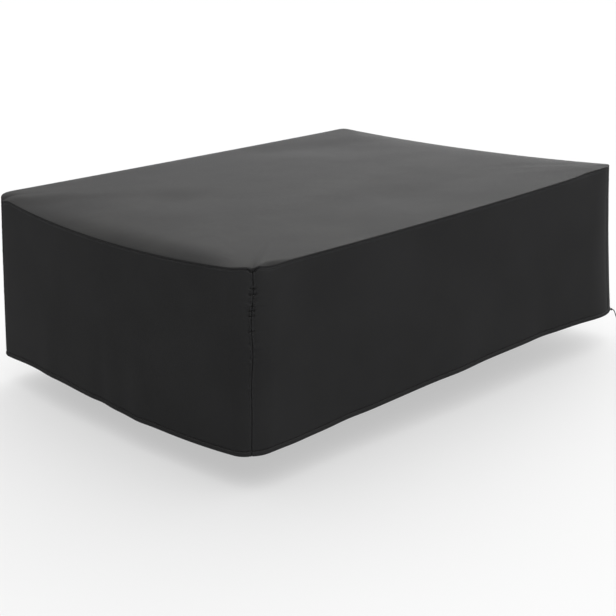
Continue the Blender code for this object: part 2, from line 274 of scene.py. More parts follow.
@dataclass(frozen=True)
class CoverForm:
    """The rules for the cover's shape.  Its solids follow them but for the last details."""

    length: float = 2.000         # along X, between the rims of the left and right skirts
    width: float = 1.640          # along Y, between the rims of the front and back skirts
    height: float = 0.686         # from the hem's lowest level up to the middle of the top
    solid_cloth: float = 0.002    # thickness of the solids, which sets the top's level
    skirt_bow: float = 0.006      # how far a skirt stands out between its rim and its hem
    fold_top: float = 0.25        # fraction of a skirt's height where its folds begin
    shoulder_share: float = 0.11  # fraction of a skirt's height that a soft shoulder takes
    shoulder_ends: float = 0.20   # from a seam to a shoulder's full depth, times 4
    shoulder_bend: float = 0.026  # how far in the top starts to bend over a shoulder
    softening: float = 1.5        # the higher, the longer the stretch where it softens the seam
    seam_wander: float = 0.012    # sideways, as a share of the corner's rounding
    wander_turns: float = 17.0    # of a seam's waves, in radians from its rim to its hem
    droop_reach: float = 0.045    # along the rim
    hem_droop_reach: float = 0.180
    tuck_reach: float = 0.014
    valley_reach: float = 0.0070  # to either side of the seam
    valley_share: float = 0.50    # fraction of a skirt's height over which it fades out
    arc_steps: int = 48           # in the fine line round a corner
    straight_steps: int = 160     # in the fine line between two corners
    bend_power: float = 3.2       # the higher, the closer to its rim the top bends down
    gentle_spread: float = 3.0    # how much further in the gentle part of the bend reaches
    corners: tuple[CornerForm, ...] = (
        CornerForm(-1, -1, rim_drop=0.026, lift=0.002, roll=0.12, hem_rise=0.008,
                   rim_radius=0.122, hem_radius=0.084, flare_x=0.028, flare_y=-0.022,
                   seam_share=0.50, seam_pull=2.4, gentle=0.6, tuck=0.011, valley=0.0045,
                   creases=(CrossCrease(0.012, 0.0016, 0.0100, 0.0050),
                            CrossCrease(0.030, 0.0060, 0.0080, -0.0030),
                            CrossCrease(0.046, 0.0020, 0.0085, 0.0030),
                            CrossCrease(0.068, 0.0021, 0.0115, 0.0062),
                            CrossCrease(0.090, 0.0022, 0.0120, 0.0050),
                            CrossCrease(0.104, 0.0018, 0.0090, 0.0028),
                            CrossCrease(0.131, 0.0026, 0.0110, 0.0048),
                            CrossCrease(0.147, 0.0022, 0.0120, 0.0056),
                            CrossCrease(0.166, 0.0022, 0.0120, 0.0056),
                            CrossCrease(0.222, 0.0026, 0.0100, 0.0050))),
        CornerForm(1, -1, rim_drop=0.007, lift=0.002, roll=0.05, hem_rise=0.028,
                   rim_radius=0.050, hem_radius=0.094, flare_x=0.081, flare_y=0.008,
                   seam_share=0.50, seam_pull=0.8, stretch=2.75, rounding=2.0, gentle=1.0,
                   tuck=0.003, hem_droop=0.010),
        CornerForm(1, 1, rim_drop=0.000, lift=0.004, roll=0.05, hem_rise=0.012,
                   rim_radius=0.014, hem_radius=0.060, flare_x=0.060, flare_y=0.030,
                   seam_share=0.50, seam_pull=0.6, tuck=0.004),
        CornerForm(-1, 1, rim_drop=-0.003, lift=0.010, roll=0.10, hem_rise=0.009,
                   rim_radius=0.080, hem_radius=0.043, flare_x=0.032, flare_y=0.026,
                   seam_share=0.90, seam_pull=0.7, gentle=0.3, droop=0.014, tuck=0.004,
                   hem_droop=0.012),
    )
    sides: tuple[SideForm, ...] = (
        SideForm(rim_bulge=0.016, rim_sag=0.004, sag_power=1.0, roll=0.16, gentle=1.0,
                 hem_bulge=0.010, hem_sag=-0.023, hem_skew=-0.0085),
        SideForm(rim_bulge=0.004, rim_sag=0.021, sag_power=1.0, roll=0.30, gentle=0.0,
                 hem_bulge=0.006, hem_sag=0.006, hem_skew=0.0),
        SideForm(rim_bulge=-0.005, rim_sag=0.001, sag_power=1.0, roll=0.10, gentle=0.0,
                 hem_bulge=0.008, hem_sag=-0.008, hem_skew=0.004),
        SideForm(rim_bulge=0.036, rim_sag=0.0355, sag_power=0.77, roll=0.13, gentle=0.5,
                 hem_bulge=0.039, hem_sag=0.007, hem_skew=0.0125, gentle_skew=0.9),
    )
    shoulders: tuple[Shoulder, ...] = (
        Shoulder(Side.FRONT, 0.034, 0.050, 0.014, drop=0.009, softness=1.0),
        Shoulder(Side.FRONT, 0.925, 0.100, 0.012, drop=0.0, softness=0.25),
        Shoulder(Side.LEFT, 0.05, 0.160, 0.0, drop=0.0, softness=0.7),
    )
    folds: tuple[SoftFold, ...] = (
        SoftFold(Side.FRONT, 0.08, 0.060, 0.004), SoftFold(Side.FRONT, 0.21, 0.075, -0.006),
        SoftFold(Side.FRONT, 0.50, 0.100, 0.008), SoftFold(Side.FRONT, 0.75, 0.085, -0.007),
        SoftFold(Side.RIGHT, 0.25, 0.070, 0.006), SoftFold(Side.RIGHT, 0.52, 0.090, -0.007),
        SoftFold(Side.RIGHT, 0.80, 0.060, 0.005), SoftFold(Side.BACK, 0.18, 0.070, -0.006),
        SoftFold(Side.BACK, 0.45, 0.080, 0.006), SoftFold(Side.BACK, 0.74, 0.070, -0.005),
        SoftFold(Side.LEFT, 0.25, 0.070, 0.004), SoftFold(Side.LEFT, 0.49, 0.050, -0.006),
        SoftFold(Side.LEFT, 0.64, 0.060, 0.006),
    )
    hollows: tuple[Hollow, ...] = (
        Hollow(0.05, -0.55, 0.004, 0.26),
        Hollow(-0.60, 0.10, 0.004, 0.26),
        Hollow(0.55, 0.35, 0.004, 0.28),
    )
    ridges: tuple[Ridge, ...] = (
        Ridge((-0.55, -0.34), (0.75, -0.10), 0.0024, 0.085),
        Ridge((-0.25, -0.50), (0.80, -0.52), -0.0018, 0.110),
        Ridge((0.10, 0.66), (0.95, 0.40), -0.0034, 0.120),
        Ridge((-0.80, 0.45), (-0.50, 0.05), -0.0020, 0.090),
    )

    @property
    def top_level(self) -> float:
        """Height of the top's outer face at its middle."""
        return self.solid_cloth

    @property
    def hem_level(self) -> float:
        """Lowest level of the hem's edge."""
        return self.top_level - self.height

    def span(self, number: int) -> float:
        """Length of a side between the straight lines of its neighbours, at the rim."""
        return self.length if number % 2 == 0 else self.width

    def ends(self, number: int) -> tuple[CornerForm, CornerForm]:
        """The corners where a side starts and ends."""
        return self.corners[number], self.corners[(number + 1) % 4]

    def corner_point(self, number: int, down: float) -> Array:
        """Where two sides' straight lines cross, a fraction of the way down the skirts."""
        corner = self.corners[number % 4]
        return np.array([corner.x_sign * (self.length / 2 + corner.flare_x * down),
                         corner.y_sign * (self.width / 2 + corner.flare_y * down)])

    def outward(self, number: int, down: float) -> Array:
        """Level direction out of one side's straight stretch."""
        along = self.corner_point(number + 1, down) - self.corner_point(number, down)
        return np.array([along[1], -along[0]]) / np.linalg.norm(along)

    def arc(self, number: int, down: float, shares: Array) -> tuple[Array, Array]:
        """Points round a corner, on a quarter of an ellipse.

        Args:
            number: the corner's number.
            down: fraction of the way down the skirts.
            shares: the wanted fractions of the rounding.

        Returns:
            The points and their directions outwards.
        """
        corner = self.corners[number % 4]
        rounded = 1 - (1 - down) ** corner.rounding
        radius = blend(corner.rim_radius, corner.hem_radius, rounded)
        before, after = self.outward(number - 1, down), self.outward(number, down)
        arriving = np.array([-before[1], before[0]]) * radius * corner.stretch
        leaving = np.array([-after[1], after[0]]) * radius
        angles = (math.pi / 2 * shares)[:, None]
        points = (self.corner_point(number, down) - arriving * (1 - np.sin(angles))
                  + leaving * (1 - np.cos(angles)))
        along = arriving * np.cos(angles) + leaving * np.sin(angles)
        outwards = np.column_stack([along[:, 1], -along[:, 0]])
        return points, outwards / np.linalg.norm(outwards, axis=1)[:, None]

    def seam_place(self, number: int, down: float) -> float:
        """Find a corner's seam, which wanders where it is gathered.

        Args:
            number: the corner's number.
            down: fraction of the way down the skirts.

        Returns:
            The part of the corner's rounding before its seam.
        """
        corner = self.corners[number % 4]
        wave = math.sin(self.wander_turns * down + number % 4) * hump(down) ** 0.5
        return corner.seam_share + corner.seam_pull * self.seam_wander * (1 - down) * wave

    def plan(self, number: int, down: float) -> Plan:
        """Draw one side at one level, from its first seam to its second.

        Args:
            number: the side's number.
            down: fraction of the way down the skirts.

        Returns:
            Its fine line.
        """
        before, after = self.seam_place(number, down), self.seam_place(number + 1, down)
        first, first_out = self.arc(number, down, np.linspace(before, 1, self.arc_steps))
        last, last_out = self.arc(number + 1, down, np.linspace(0, after, self.arc_steps))
        shares = np.linspace(0, 1, self.straight_steps)[1:-1, None]
        straight = blend(first[-1], last[0], shares)
        straight_out = np.tile(self.outward(number, down), (len(straight), 1))
        points = np.vstack([first, straight, last])
        outwards = np.vstack([first_out, straight_out, last_out])
        return Plan(points, outwards, travelled(points))

    def beside(self, number: int, fraction: Array) -> list[tuple[CornerForm, Array]]:
        """A side's two corners, each with the distance to it along the side."""
        span = self.span(number)
        return list(zip(self.ends(number), (fraction * span, (1 - fraction) * span)))

    @staticmethod
    def off_corners(fraction: Array) -> Array:
        """0 at a side's corners, 1 over the middle part of it."""
        return ease(hump(fraction) * 2)

    def rim_level(self, number: int, fraction: Array) -> Array:
        """Height of the top's edge along one side.

        Args:
            number: the side's number.
            fraction: fractions of the way along it.

        Returns:
            The height at each.
        """
        side, (start, end) = self.sides[number], self.ends(number)
        level = self.top_level - blend(start.rim_drop, end.rim_drop, fraction)
        for corner, distance in self.beside(number, fraction):
            level = level - corner.droop * bell(distance, self.droop_reach)
            level = level - corner.tuck * bell(distance, self.tuck_reach)
        level = level - side.rim_sag * hump(fraction) ** side.sag_power
        return level - self.shoulder_drop(number, fraction)

    def hem_edge(self, number: int, fraction: Array) -> Array:
        """Height of the hem's lower edge along one side.

        Args:
            number: the side's number.
            fraction: fractions of the way along it.

        Returns:
            The height at each.
        """
        side, (start, end) = self.sides[number], self.ends(number)
        level = self.hem_level + blend(start.hem_rise, end.hem_rise, fraction)
        for corner, distance in self.beside(number, fraction):
            level = level - corner.hem_droop * bell(distance, self.hem_droop_reach)
        level = level - side.hem_sag * hump(fraction)
        return level - side.hem_skew * hump(fraction) * (4 * fraction - 2)

    def stand_out(self, number: int, fraction: Array, down: float) -> Array:
        """How far a skirt stands out past its plan, with its bow and its soft folds.

        Args:
            number: the side's number.
            fraction: fractions of the way along it.
            down: fraction of the way down the skirt.

        Returns:
            The distance at each.
        """
        side = self.sides[number]
        out = blend(side.rim_bulge, side.hem_bulge, down) * hump(fraction)
        out = out + self.skirt_bow * hump(down) * np.sqrt(hump(fraction))
        growth = (ease((down - self.fold_top) / (1 - self.fold_top))
                  * self.off_corners(fraction))
        for fold in self.folds:
            if fold.side.value == number:
                distance = (fraction - fold.along) * self.span(number)
                out = out + fold.depth * growth * bell(distance, fold.half_width)
        upper = max(1 - down / self.shoulder_share, 0.0) ** 2
        out = out - sum(shoulder.depth * here for shoulder, here
                        in self.shoulders_at(number, fraction)) * upper
        for corner, distance in self.beside(number, fraction):
            dent = bell(distance, self.tuck_reach) * bell(down * self.height, self.tuck_reach)
            out = out - corner.tuck * dent / 2
            fading = ease(1 - down / self.valley_share)
            out = out - corner.valley * fading * bell(distance, self.valley_reach)
            for crease in corner.creases:
                level = bell(down * self.height - crease.below, crease.half_height)
                out = out - crease.depth * level * bell(distance, crease.reach)
        return out

    def shoulders_at(self, number: int, fraction: Array) -> list[tuple[Shoulder, Array]]:
        """Find a side's soft shoulders.

        Args:
            number: the side's number.
            fraction: fractions of the way along it.

        Returns:
            The shoulders, each with its strength at each place, 0 to 1.
        """
        span = self.span(number)
        ends = ease(hump(fraction) * span / self.shoulder_ends)
        return [(shoulder, ends * bell((fraction - shoulder.along) * span,
                                       shoulder.half_width))
                for shoulder in self.shoulders if shoulder.side.value == number]

    def shoulder_drop(self, number: int, fraction: Array) -> Array:
        """How much lower the rim hangs at a side's soft shoulders."""
        return sum((shoulder.drop * here for shoulder, here
                    in self.shoulders_at(number, fraction)), np.zeros_like(fraction))

    def seam_depth(self, number: int, fraction: Array) -> Array:
        """How deep the rim's seam lies along one side, from 1 down to little at a shoulder."""
        soft = sum((shoulder.softness * ease(self.softening * here) for shoulder, here
                    in self.shoulders_at(number, fraction)), np.zeros_like(fraction))
        return 1 - soft

    def top_base(self, x: Array, y: Array) -> Array:
        """Height of the top's outer face away from its rims.

        Args:
            x: places along the long sides.
            y: places along the short sides.

        Returns:
            The height at each place.
        """
        levels = [corner.lift - corner.rim_drop for corner in self.corners]
        u = np.clip(x / self.length + 0.5, 0, 1)
        v = np.clip(y / self.width + 0.5, 0, 1)
        across = blend(blend(levels[0], levels[1], u), blend(levels[3], levels[2], u), v)
        crown = -sum(levels) / len(levels)
        level = self.top_level + across + crown * hump(u) * hump(v)
        for hollow in self.hollows:
            distance = np.hypot(x - hollow.x, y - hollow.y) / hollow.reach
            level = level - hollow.depth * ease(1 - distance)
        return level

    def bend(self, inward: Array, gentle: Array) -> Array:
        """Part of the drop to the rim that is left some way in, as fractions of the roll."""
        steep = np.clip(1 - inward, 0, None) ** self.bend_power
        return blend(steep, np.clip(1 - inward / self.gentle_spread, 0, None) ** 2, gentle)

    def top_creases(self, x: Array, y: Array) -> Array:
        """How much the ridges and troughs lift the top's face."""
        return sum(ridge.rise(x, y) for ridge in self.ridges)

    def rim_bend(self, number: int, fraction: Array) -> tuple[Array, Array]:
        """How the top bends down to its rim along one side.

        Args:
            number: the side's number.
            fraction: fractions of the way along it.

        Returns:
            The part of the way to the middle over which it bends, and how much of it is
            gentle.
        """
        side, (start, end) = self.sides[number], self.ends(number)
        half_way = self.span(number + 1) / 2
        diagonal = math.hypot(self.length, self.width) / 2
        first, away = fraction < 0.5, self.off_corners(fraction)
        roll = blend(np.where(first, start.roll, end.roll) / diagonal, side.roll / half_way,
                     away)
        gentle = side.gentle * (1 + side.gentle_skew * (1 - 2 * fraction))
        return roll, blend(np.where(first, start.gentle, end.gentle), gentle, away)


# ---------------------------------------------------------------- node trees and meshes

class Wiring:
    """Adds nodes to a tree and joins them.  A value is a number or another node's output."""

    def __init__(self, tree: bpy.types.NodeTree) -> None:
        """Take up a tree."""
        self.tree = tree

    def feed(self, socket: Socket, value: Value) -> None:
        """Join a value to an input, or set the input to it."""
        if isinstance(value, Socket):
            self.tree.links.new(value, socket)
        else:
            socket.default_value = value

    def node(self, kind: str, inputs: dict[str | int, Value] | None = None,
             **settings: object) -> bpy.types.Node:
        """Add a node.

        Args:
            kind: the node's type.
            inputs: values for its inputs, by name or number.
            settings: its other properties.

        Returns:
            The new node.
        """
        node = self.tree.nodes.new(kind)
        for name, value in settings.items():
            setattr(node, name, value)
        for name, value in (inputs or {}).items():
            self.feed(node.inputs[name], value)
        return node

    def out(self, kind: str, inputs: dict[str | int, Value] | None = None,
            output: int | str = 0, **settings: object) -> Socket:
        """Add a node and return one of its outputs."""
        return self.node(kind, inputs, **settings).outputs[output]

    def math(self, operation: str, *values: Value) -> Socket:
        """Add a Math node and return its result."""
        return self.out("ShaderNodeMath", dict(enumerate(values)), operation=operation)

    def vector(self, operation: str, *values: Value) -> Socket:
        """Add a Vector Math node and return its result."""
        output = "Value" if operation == 'DOT_PRODUCT' else "Vector"
        return self.out("ShaderNodeVectorMath", dict(enumerate(values)), output,
                        operation=operation)

    def scaled(self, vector: Value, scale: Value) -> Socket:
        """A vector times a number."""
        return self.out("ShaderNodeVectorMath", {0: vector, "Scale": scale}, operation='SCALE')

    def ramp(self, value: Value, low: float, high: float, start: Value = 0.0,
             end: Value = 1.0) -> Socket:
        """Ease from one number to another.

        Args:
            value: what it follows.
            low: the value where it leaves the first number.
            high: the value where it reaches the second.
            start: the first number.
            end: the second number.

        Returns:
            The eased number.
        """
        return self.out("ShaderNodeMapRange", dict(enumerate((value, low, high, start, end))),
                        interpolation_type='SMOOTHSTEP')

    def noise(self, vector: Value, scale: Value, detail: float, roughness: float = 0.5,
              seed: Value | None = None, distortion: float = 0.0) -> Socket:
        """Add a noise texture.

        Args:
            vector: the place where it is read.
            scale: how many of its largest clouds go into one unit of length.
            detail: how many finer layers it has.
            roughness: how strong those are.
            seed: picks one of many patterns, if it is given.
            distortion: how much its clouds are bent.

        Returns:
            Its value, 0 to 1.
        """
        inputs = {"Vector": vector, "Scale": scale, "Detail": detail, "Roughness": roughness,
                  "Distortion": distortion}
        if seed is None:
            return self.out("ShaderNodeTexNoise", inputs)
        return self.out("ShaderNodeTexNoise", {**inputs, "W": seed}, noise_dimensions='4D')

    def over(self, under: Socket, colour: Triple, mask: Socket) -> Socket:
        """One colour laid over another through a mask."""
        return self.out("ShaderNodeMix", {0: mask, 6: under, 7: (*colour, 1.0)}, 2,
                        data_type='RGBA')

    def use(self, recipe: "Recipe", inputs: dict[str, Value]) -> Socket:
        """Place a recipe in the tree with its own values, and return what it puts out."""
        kind = recipe.tree.bl_idname.replace("Tree", "Group")
        return self.out(kind, inputs, node_tree=recipe.tree)


class Tree(Enum):
    """The two kinds of node group."""

    SHADER = "ShaderNodeTree"
    GEOMETRY = "GeometryNodeTree"


class Recipe(Wiring):
    """A node group with named inputs and one output."""

    def __init__(self, name: str, tree: Tree, inputs: dict[str, Value | str],
                 output: str) -> None:
        """Make an empty group.

        Args:
            name: the group's name.
            tree: its kind.
            inputs: its inputs, each with a default number or vector, or a kind of data.
            output: its output, "Kind Name".
        """
        super().__init__(bpy.data.node_groups.new(name, tree.value))
        kinds = {float: "Float", int: "Int", tuple: "Vector"}
        for label, default in inputs.items():
            socket = self.socket('INPUT', kinds.get(type(default), default), label)
            if type(default) in kinds:
                socket.default_value = default
        self.socket('OUTPUT', *output.split(" "))
        self.given = self.tree.nodes.new("NodeGroupInput").outputs
        self.result = self.tree.nodes.new("NodeGroupOutput").inputs[0]

    def __getitem__(self, label: str) -> Socket:
        """One of the group's inputs, as a value."""
        return self.given[label]

    def socket(self, end: str, kind: str, label: str) -> bpy.types.NodeTreeInterfaceSocket:
        """Add a named input or output to the group."""
        return self.tree.interface.new_socket(name=label, in_out=end,
                                              socket_type="NodeSocket" + kind)

    def give(self, value: Socket) -> "Recipe":
        """Join a value to the group's output, and return the group."""
        self.tree.links.new(value, self.result)
        return self

    def give_dressed(self, geometry: Socket) -> "Recipe":
        """Make a geometry's instances real, give it its finish and put it out."""
        real = self.out("GeometryNodeRealizeInstances", {"Geometry": geometry})
        return self.give(self.out("GeometryNodeSetMaterial",
                                  {"Geometry": real, "Material": self["Finish"]}))


def recipe_mesh(piece: Piece, recipe: Recipe, inputs: dict[str, Value]) -> bpy.types.Mesh:
    """Make a plain mesh of an object with a geometry recipe.

    Args:
        piece: the object, which stays as it is.
        recipe: the geometry recipe.
        inputs: values for the recipe's named inputs.

    Returns:
        The mesh.
    """
    modifier = piece.modifiers.new(recipe.tree.name, 'NODES')
    modifier.node_group = recipe.tree
    for item in recipe.tree.interface.items_tree:
        if item.in_out == 'INPUT' and item.name in inputs:
            modifier[item.identifier] = inputs[item.name]
    bpy.context.view_layer.update()
    evaluated = piece.evaluated_get(bpy.context.evaluated_depsgraph_get())
    mesh = bpy.data.meshes.new_from_object(evaluated)
    piece.modifiers.remove(modifier)
    return mesh


def add_object(name: str, data: bpy.types.ID) -> Piece:
    """Put an object in the scene.

    Args:
        name: its name.
        data: what it shows.

    Returns:
        The object.
    """
    piece = bpy.data.objects.new(name, data)
    bpy.context.scene.collection.objects.link(piece)
    return piece


def hand_over(piece: Piece, slot: str, *nodes: str) -> None:
    """Put a finished piece on its body and report it.

    Args:
        piece: the piece.
        slot: not used.
        nodes: the solids that it stands for.
    """
    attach(piece, BODY)
    if nodes:
        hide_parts(*nodes)
    log.info("%s: %d faces", piece.name, len(piece.data.polygons))


def sheet_mesh(name: str, points: Array, quads: Array, flat: Array,
               marks: dict[str, Array]) -> Piece:
    """An object of one layer of cloth.

    Args:
        name: the object's name.
        points: its points.
        quads: four point numbers for each face.
        flat: where each point lies in the flat cloth, in metres, which is its UV map.
        marks: values kept at the points, by name.

    Returns:
        The new object.
    """
    mesh = bpy.data.meshes.new(name)
    mesh.from_pydata(points.tolist(), [], quads.tolist())
    layer = mesh.uv_layers.new(name="flat_cloth")
    layer.data.foreach_set("uv", flat[quads.ravel()].astype(np.float32).ravel())
    for label, values in marks.items():
        attribute = mesh.attributes.new(label, 'FLOAT', 'POINT')
        attribute.data.foreach_set("value", values.astype(np.float32))
    mesh.shade_smooth()
    return add_object(name, mesh)


def grid_quads(rows: int, columns: int) -> Array:
    """Point numbers of the faces of a grid whose points are numbered row by row."""
    corner = (np.arange(rows - 1)[:, None] * columns + np.arange(columns - 1)).ravel()
    return np.stack([corner, corner + columns, corner + columns + 1, corner + 1], axis=1)


# ---------------------------------------------------------------- finishes

def weave_recipe() -> Recipe:
    """Plain weave: two sets of threads that pass over and under each other.

    Returns:
        The recipe, which puts out the height of the threads, 0 to 1.
    """
    group = Recipe("plain_weave", Tree.SHADER,
                   {"Vector": (0.0, 0.0, 0.0), "Thread Width": 0.0006}, "Float Height")
    axes = group.node("ShaderNodeSeparateXYZ", {"Vector": group["Vector"]}).outputs
    waves = [group.math('SINE', group.math('MULTIPLY', turn, math.pi)) for turn in
             [group.math('DIVIDE', axes[axis], group["Thread Width"]) for axis in "XY"]]
    crowns = [group.math('ABSOLUTE', wave) for wave in waves]
    above = group.math('GREATER_THAN', group.math('MULTIPLY', *waves), 0.0)
    heights = [group.math('MULTIPLY', first, group.math('MULTIPLY_ADD', second, 0.4, 0.6))
               for first, second in (crowns, crowns[::-1])]
    return group.give(group.out("ShaderNodeMix",
                                {"Factor": above, "A": heights[1], "B": heights[0]}))


def crease_recipe() -> Recipe:
    """Fine handling creases: soft ridges that wander over the cloth and die away.

    Returns:
        The recipe, which puts out the height of the creases, 0 to 1.
    """
    group = Recipe("handling_creases", Tree.SHADER,
                   {"Vector": (0.0, 0.0, 0.0), "Size": 0.09, "Seed": 0.0}, "Float Height")
    place = group.scaled(group["Vector"], group.math('DIVIDE', 1.0, group["Size"]))
    wander = group.noise(place, 1.0, 2.0, seed=group["Seed"], distortion=0.4)
    from_middle = group.math('ABSOLUTE', group.math('SUBTRACT', wander, 0.5))
    ridge = group.ramp(from_middle, 0.0, 0.06, 1.0, 0.0)
    patch = group.noise(place, 0.45, 1.0, seed=group["Seed"])
    return group.give(group.math('MULTIPLY', ridge, group.ramp(patch, 0.48, 0.66)))


def rub_recipe() -> Recipe:
    """Where cloth is rubbed: a broken band that follows a distance from a seam or fold.

    Returns:
        The recipe, which puts out the band's mask.
    """
    group = Recipe("rubbed_band", Tree.SHADER,
                   {"Vector": (0.0, 0.0, 0.0), "Distance": 1.0, "Reach": 0.012,
                    "Grain": 240.0}, "Float Mask")
    spots = group.noise(group["Vector"], group["Grain"], 3.0, 0.6)
    share = group.math('DIVIDE', group["Distance"], group["Reach"])
    near = group.ramp(share, 0.0, 1.0, 1.0, 0.0)
    return group.give(group.math('MULTIPLY', near, group.ramp(spots, 0.42, 0.68)))


def dust_and_painted_light_recipe() -> Recipe:
    """Dust in soft clouds where a surface faces up, mixed with painted light that makes those
    faces lighter.

    Returns:
        The recipe, which puts out the dust's mask.
    """
    group = Recipe("settled_dust", Tree.SHADER,
                   {"Vector": (0.0, 0.0, 0.0), "Cloud Scale": 2.4, "Speck Scale": 900.0},
                   "Float Mask")
    clouds = group.noise(group["Vector"], group["Cloud Scale"], 4.0, 0.55)
    specks = group.noise(group["Vector"], group["Speck Scale"], 1.0)
    # Painted light: the mask grows where the normal points up, so upward faces come out lighter
    # than the sides.
    normal = group.out("ShaderNodeNewGeometry", output="Normal")
    upward = group.out("ShaderNodeSeparateXYZ", {"Vector": normal}, "Z")
    drift = group.math('MULTIPLY', group.ramp(clouds, 0.35, 0.72, 0.45, 1.0),
                       group.ramp(specks, *MOST_NOISE, 0.6, 1.0))
    return group.give(group.math('MULTIPLY', group.ramp(upward, 0.2, 0.95), drift))


@dataclass(frozen=True)
class Workshop:
    """The shader recipes that several finishes share, each made once."""

    weave: Recipe = field(default_factory=weave_recipe)
    creases: Recipe = field(default_factory=crease_recipe)
    rub: Recipe = field(default_factory=rub_recipe)
    # Dust and painted light on upward faces, in one recipe.
    dust_and_painted_light: Recipe = field(default_factory=dust_and_painted_light_recipe)


def new_material(name: str) -> tuple[bpy.types.Material, Wiring, bpy.types.Node]:
    """Start a material.

    Args:
        name: its name.

    Returns:
        The material, its wiring and its shader.
    """
    material = bpy.data.materials.new(name)
    material.use_nodes = True
    return material, Wiring(material.node_tree), material.node_tree.nodes["Principled BSDF"]


@dataclass(frozen=True)
class ClothFinish:
    """Woven cloth with a dull coating."""

    name: str
    colour: Triple = (0.0260, 0.0260, 0.0265)
    rubbed_colour: Triple = (0.040, 0.040, 0.041)
    # Dust and painted light together: this lighter colour is laid on upward faces, the more
    # towards the low corner.
    dust_and_painted_light_colour: Triple = (0.075, 0.073, 0.068)
    dust_and_painted_light: Pair = (0.04, 0.28)          # its cover, far from and near the low corner
    dust_and_painted_light_way: Triple = (-0.67, -0.74, 0.0)        # towards the low corner
    dust_and_painted_light_reach: float = 1.1
    tone_scale: float = 3.0
    tones: Pair = (0.93, 1.07)         # the colour's lightness, in soft clouds
    # Painted shade darkens the grooves between the threads, and painted light lightens their
    # crowns.
    painted_groove_shade: float = 0.85          # and between the threads
    painted_crown_light: float = 0.25           # and how much more on top of them
    roughness: float = 0.75
    roughness_range: float = 0.02      # to either side of that
    rubbed_smoother: float = 0.06
    specular: float = 0.035            # the coating throws back little light, seen straight on
    thread_width: float = 0.0006
    weave_height: float = 0.00005
    crease_height: float = 0.0002
    crease_size: float = 0.11

    def material(self, shop: Workshop) -> bpy.types.Material:
        """Make the material.

        Args:
            shop: the shared recipes.

        Returns:
            The new material.
        """
        material, wiring, shader = new_material(self.name)
        flat = wiring.out("ShaderNodeUVMap", output="UV", uv_map="flat_cloth")
        place = wiring.out("ShaderNodeTexCoord", output="Object")
        seam = wiring.out("ShaderNodeAttribute", output="Fac", attribute_name="nearest_seam")
        weave = wiring.use(shop.weave, {"Vector": flat, "Thread Width": self.thread_width})
        creases = wiring.use(shop.creases, {"Vector": place, "Size": self.crease_size})
        rub = wiring.use(shop.rub, {"Vector": place, "Distance": seam})
        # Dust and painted light: a mask that lightens faces which point up.
        dust_and_painted_light = wiring.use(shop.dust_and_painted_light, {"Vector": place})

        tone = wiring.noise(place, self.tone_scale, 3.0)
        # The weave's grooves are darkened as painted shade and its crowns lightened as painted
        # light.
        shade = wiring.math('MULTIPLY', wiring.ramp(tone, *MOST_NOISE, *self.tones),
                            wiring.math('MULTIPLY_ADD', weave, self.painted_crown_light,
                                        self.painted_groove_shade))
        base = wiring.out("ShaderNodeCombineColor",
                          {name: wiring.math('MULTIPLY', shade, part) for name, part
                           in zip(("Red", "Green", "Blue"), self.colour)})
        # The dust and painted light lie thicker towards the low corner.
        drift = wiring.vector('DOT_PRODUCT', place, self.dust_and_painted_light_way)
        cover = wiring.math('MULTIPLY', dust_and_painted_light,
                            wiring.ramp(drift, -self.dust_and_painted_light_reach, self.dust_and_painted_light_reach, *self.dust_and_painted_light))
        rubbed = wiring.over(base, self.rubbed_colour, rub)
        wiring.feed(shader.inputs["Base Color"], wiring.over(rubbed, self.dust_and_painted_light_colour, cover))

        rough = wiring.ramp(tone, *MOST_NOISE, self.roughness - self.roughness_range,
                            self.roughness + self.roughness_range)
        wiring.feed(shader.inputs["Roughness"],
                    wiring.math('MULTIPLY_ADD', rub, -self.rubbed_smoother, rough))
        shader.inputs["Specular IOR Level"].default_value = self.specular

        large = wiring.out("ShaderNodeBump", {"Height": creases, "Strength": 1.0,
                                              "Distance": self.crease_height})
        fine = wiring.out("ShaderNodeBump", {"Height": weave, "Strength": 1.0, "Normal": large,
                                             "Distance": self.weave_height})
        wiring.feed(shader.inputs["Normal"], fine)
        return material


@dataclass(frozen=True)
class ThreadFinish:
    """Twisted sewing thread or the yarn of a braided cord."""

    name: str
    colour: Triple = (0.016, 0.016, 0.017)
    rubbed_colour: Triple = (0.040, 0.040, 0.041)
    rubbed: float = 0.35               # how much of that colour shows
    roughness: float = 0.55
    roughness_range: float = 0.05
    specular: float = 0.35
    sheen: float = 0.15
    fibre_scale: float = 2600.0
    fibre_height: float = 0.00004

    def material(self, shop: Workshop) -> bpy.types.Material:
        """Make the material.

        Args:
            shop: the shared recipes.

        Returns:
            The new material.
        """
        material, wiring, shader = new_material(self.name)
        place = wiring.out("ShaderNodeTexCoord", output="Object")
        fibres = wiring.noise(place, self.fibre_scale, 2.0)
        rub = wiring.use(shop.rub, {"Vector": place, "Distance": 0.0, "Reach": 1.0,
                                    "Grain": self.fibre_scale / 4})
        base = wiring.out("ShaderNodeRGB")
        base.default_value = (*self.colour, 1.0)
        colour = wiring.over(base, self.rubbed_colour,
                             wiring.math('MULTIPLY', rub, self.rubbed))
        wiring.feed(shader.inputs["Base Color"], colour)
        wiring.feed(shader.inputs["Roughness"],
                    wiring.ramp(fibres, *MOST_NOISE, self.roughness - self.roughness_range,
                                self.roughness + self.roughness_range))
        shader.inputs["Specular IOR Level"].default_value = self.specular
        shader.inputs["Sheen Weight"].default_value = self.sheen
        wiring.feed(shader.inputs["Normal"],
                    wiring.out("ShaderNodeBump", {"Height": fibres, "Strength": 1.0,
                                                  "Distance": self.fibre_height}))
        return material


# ---------------------------------------------------------------- sewing

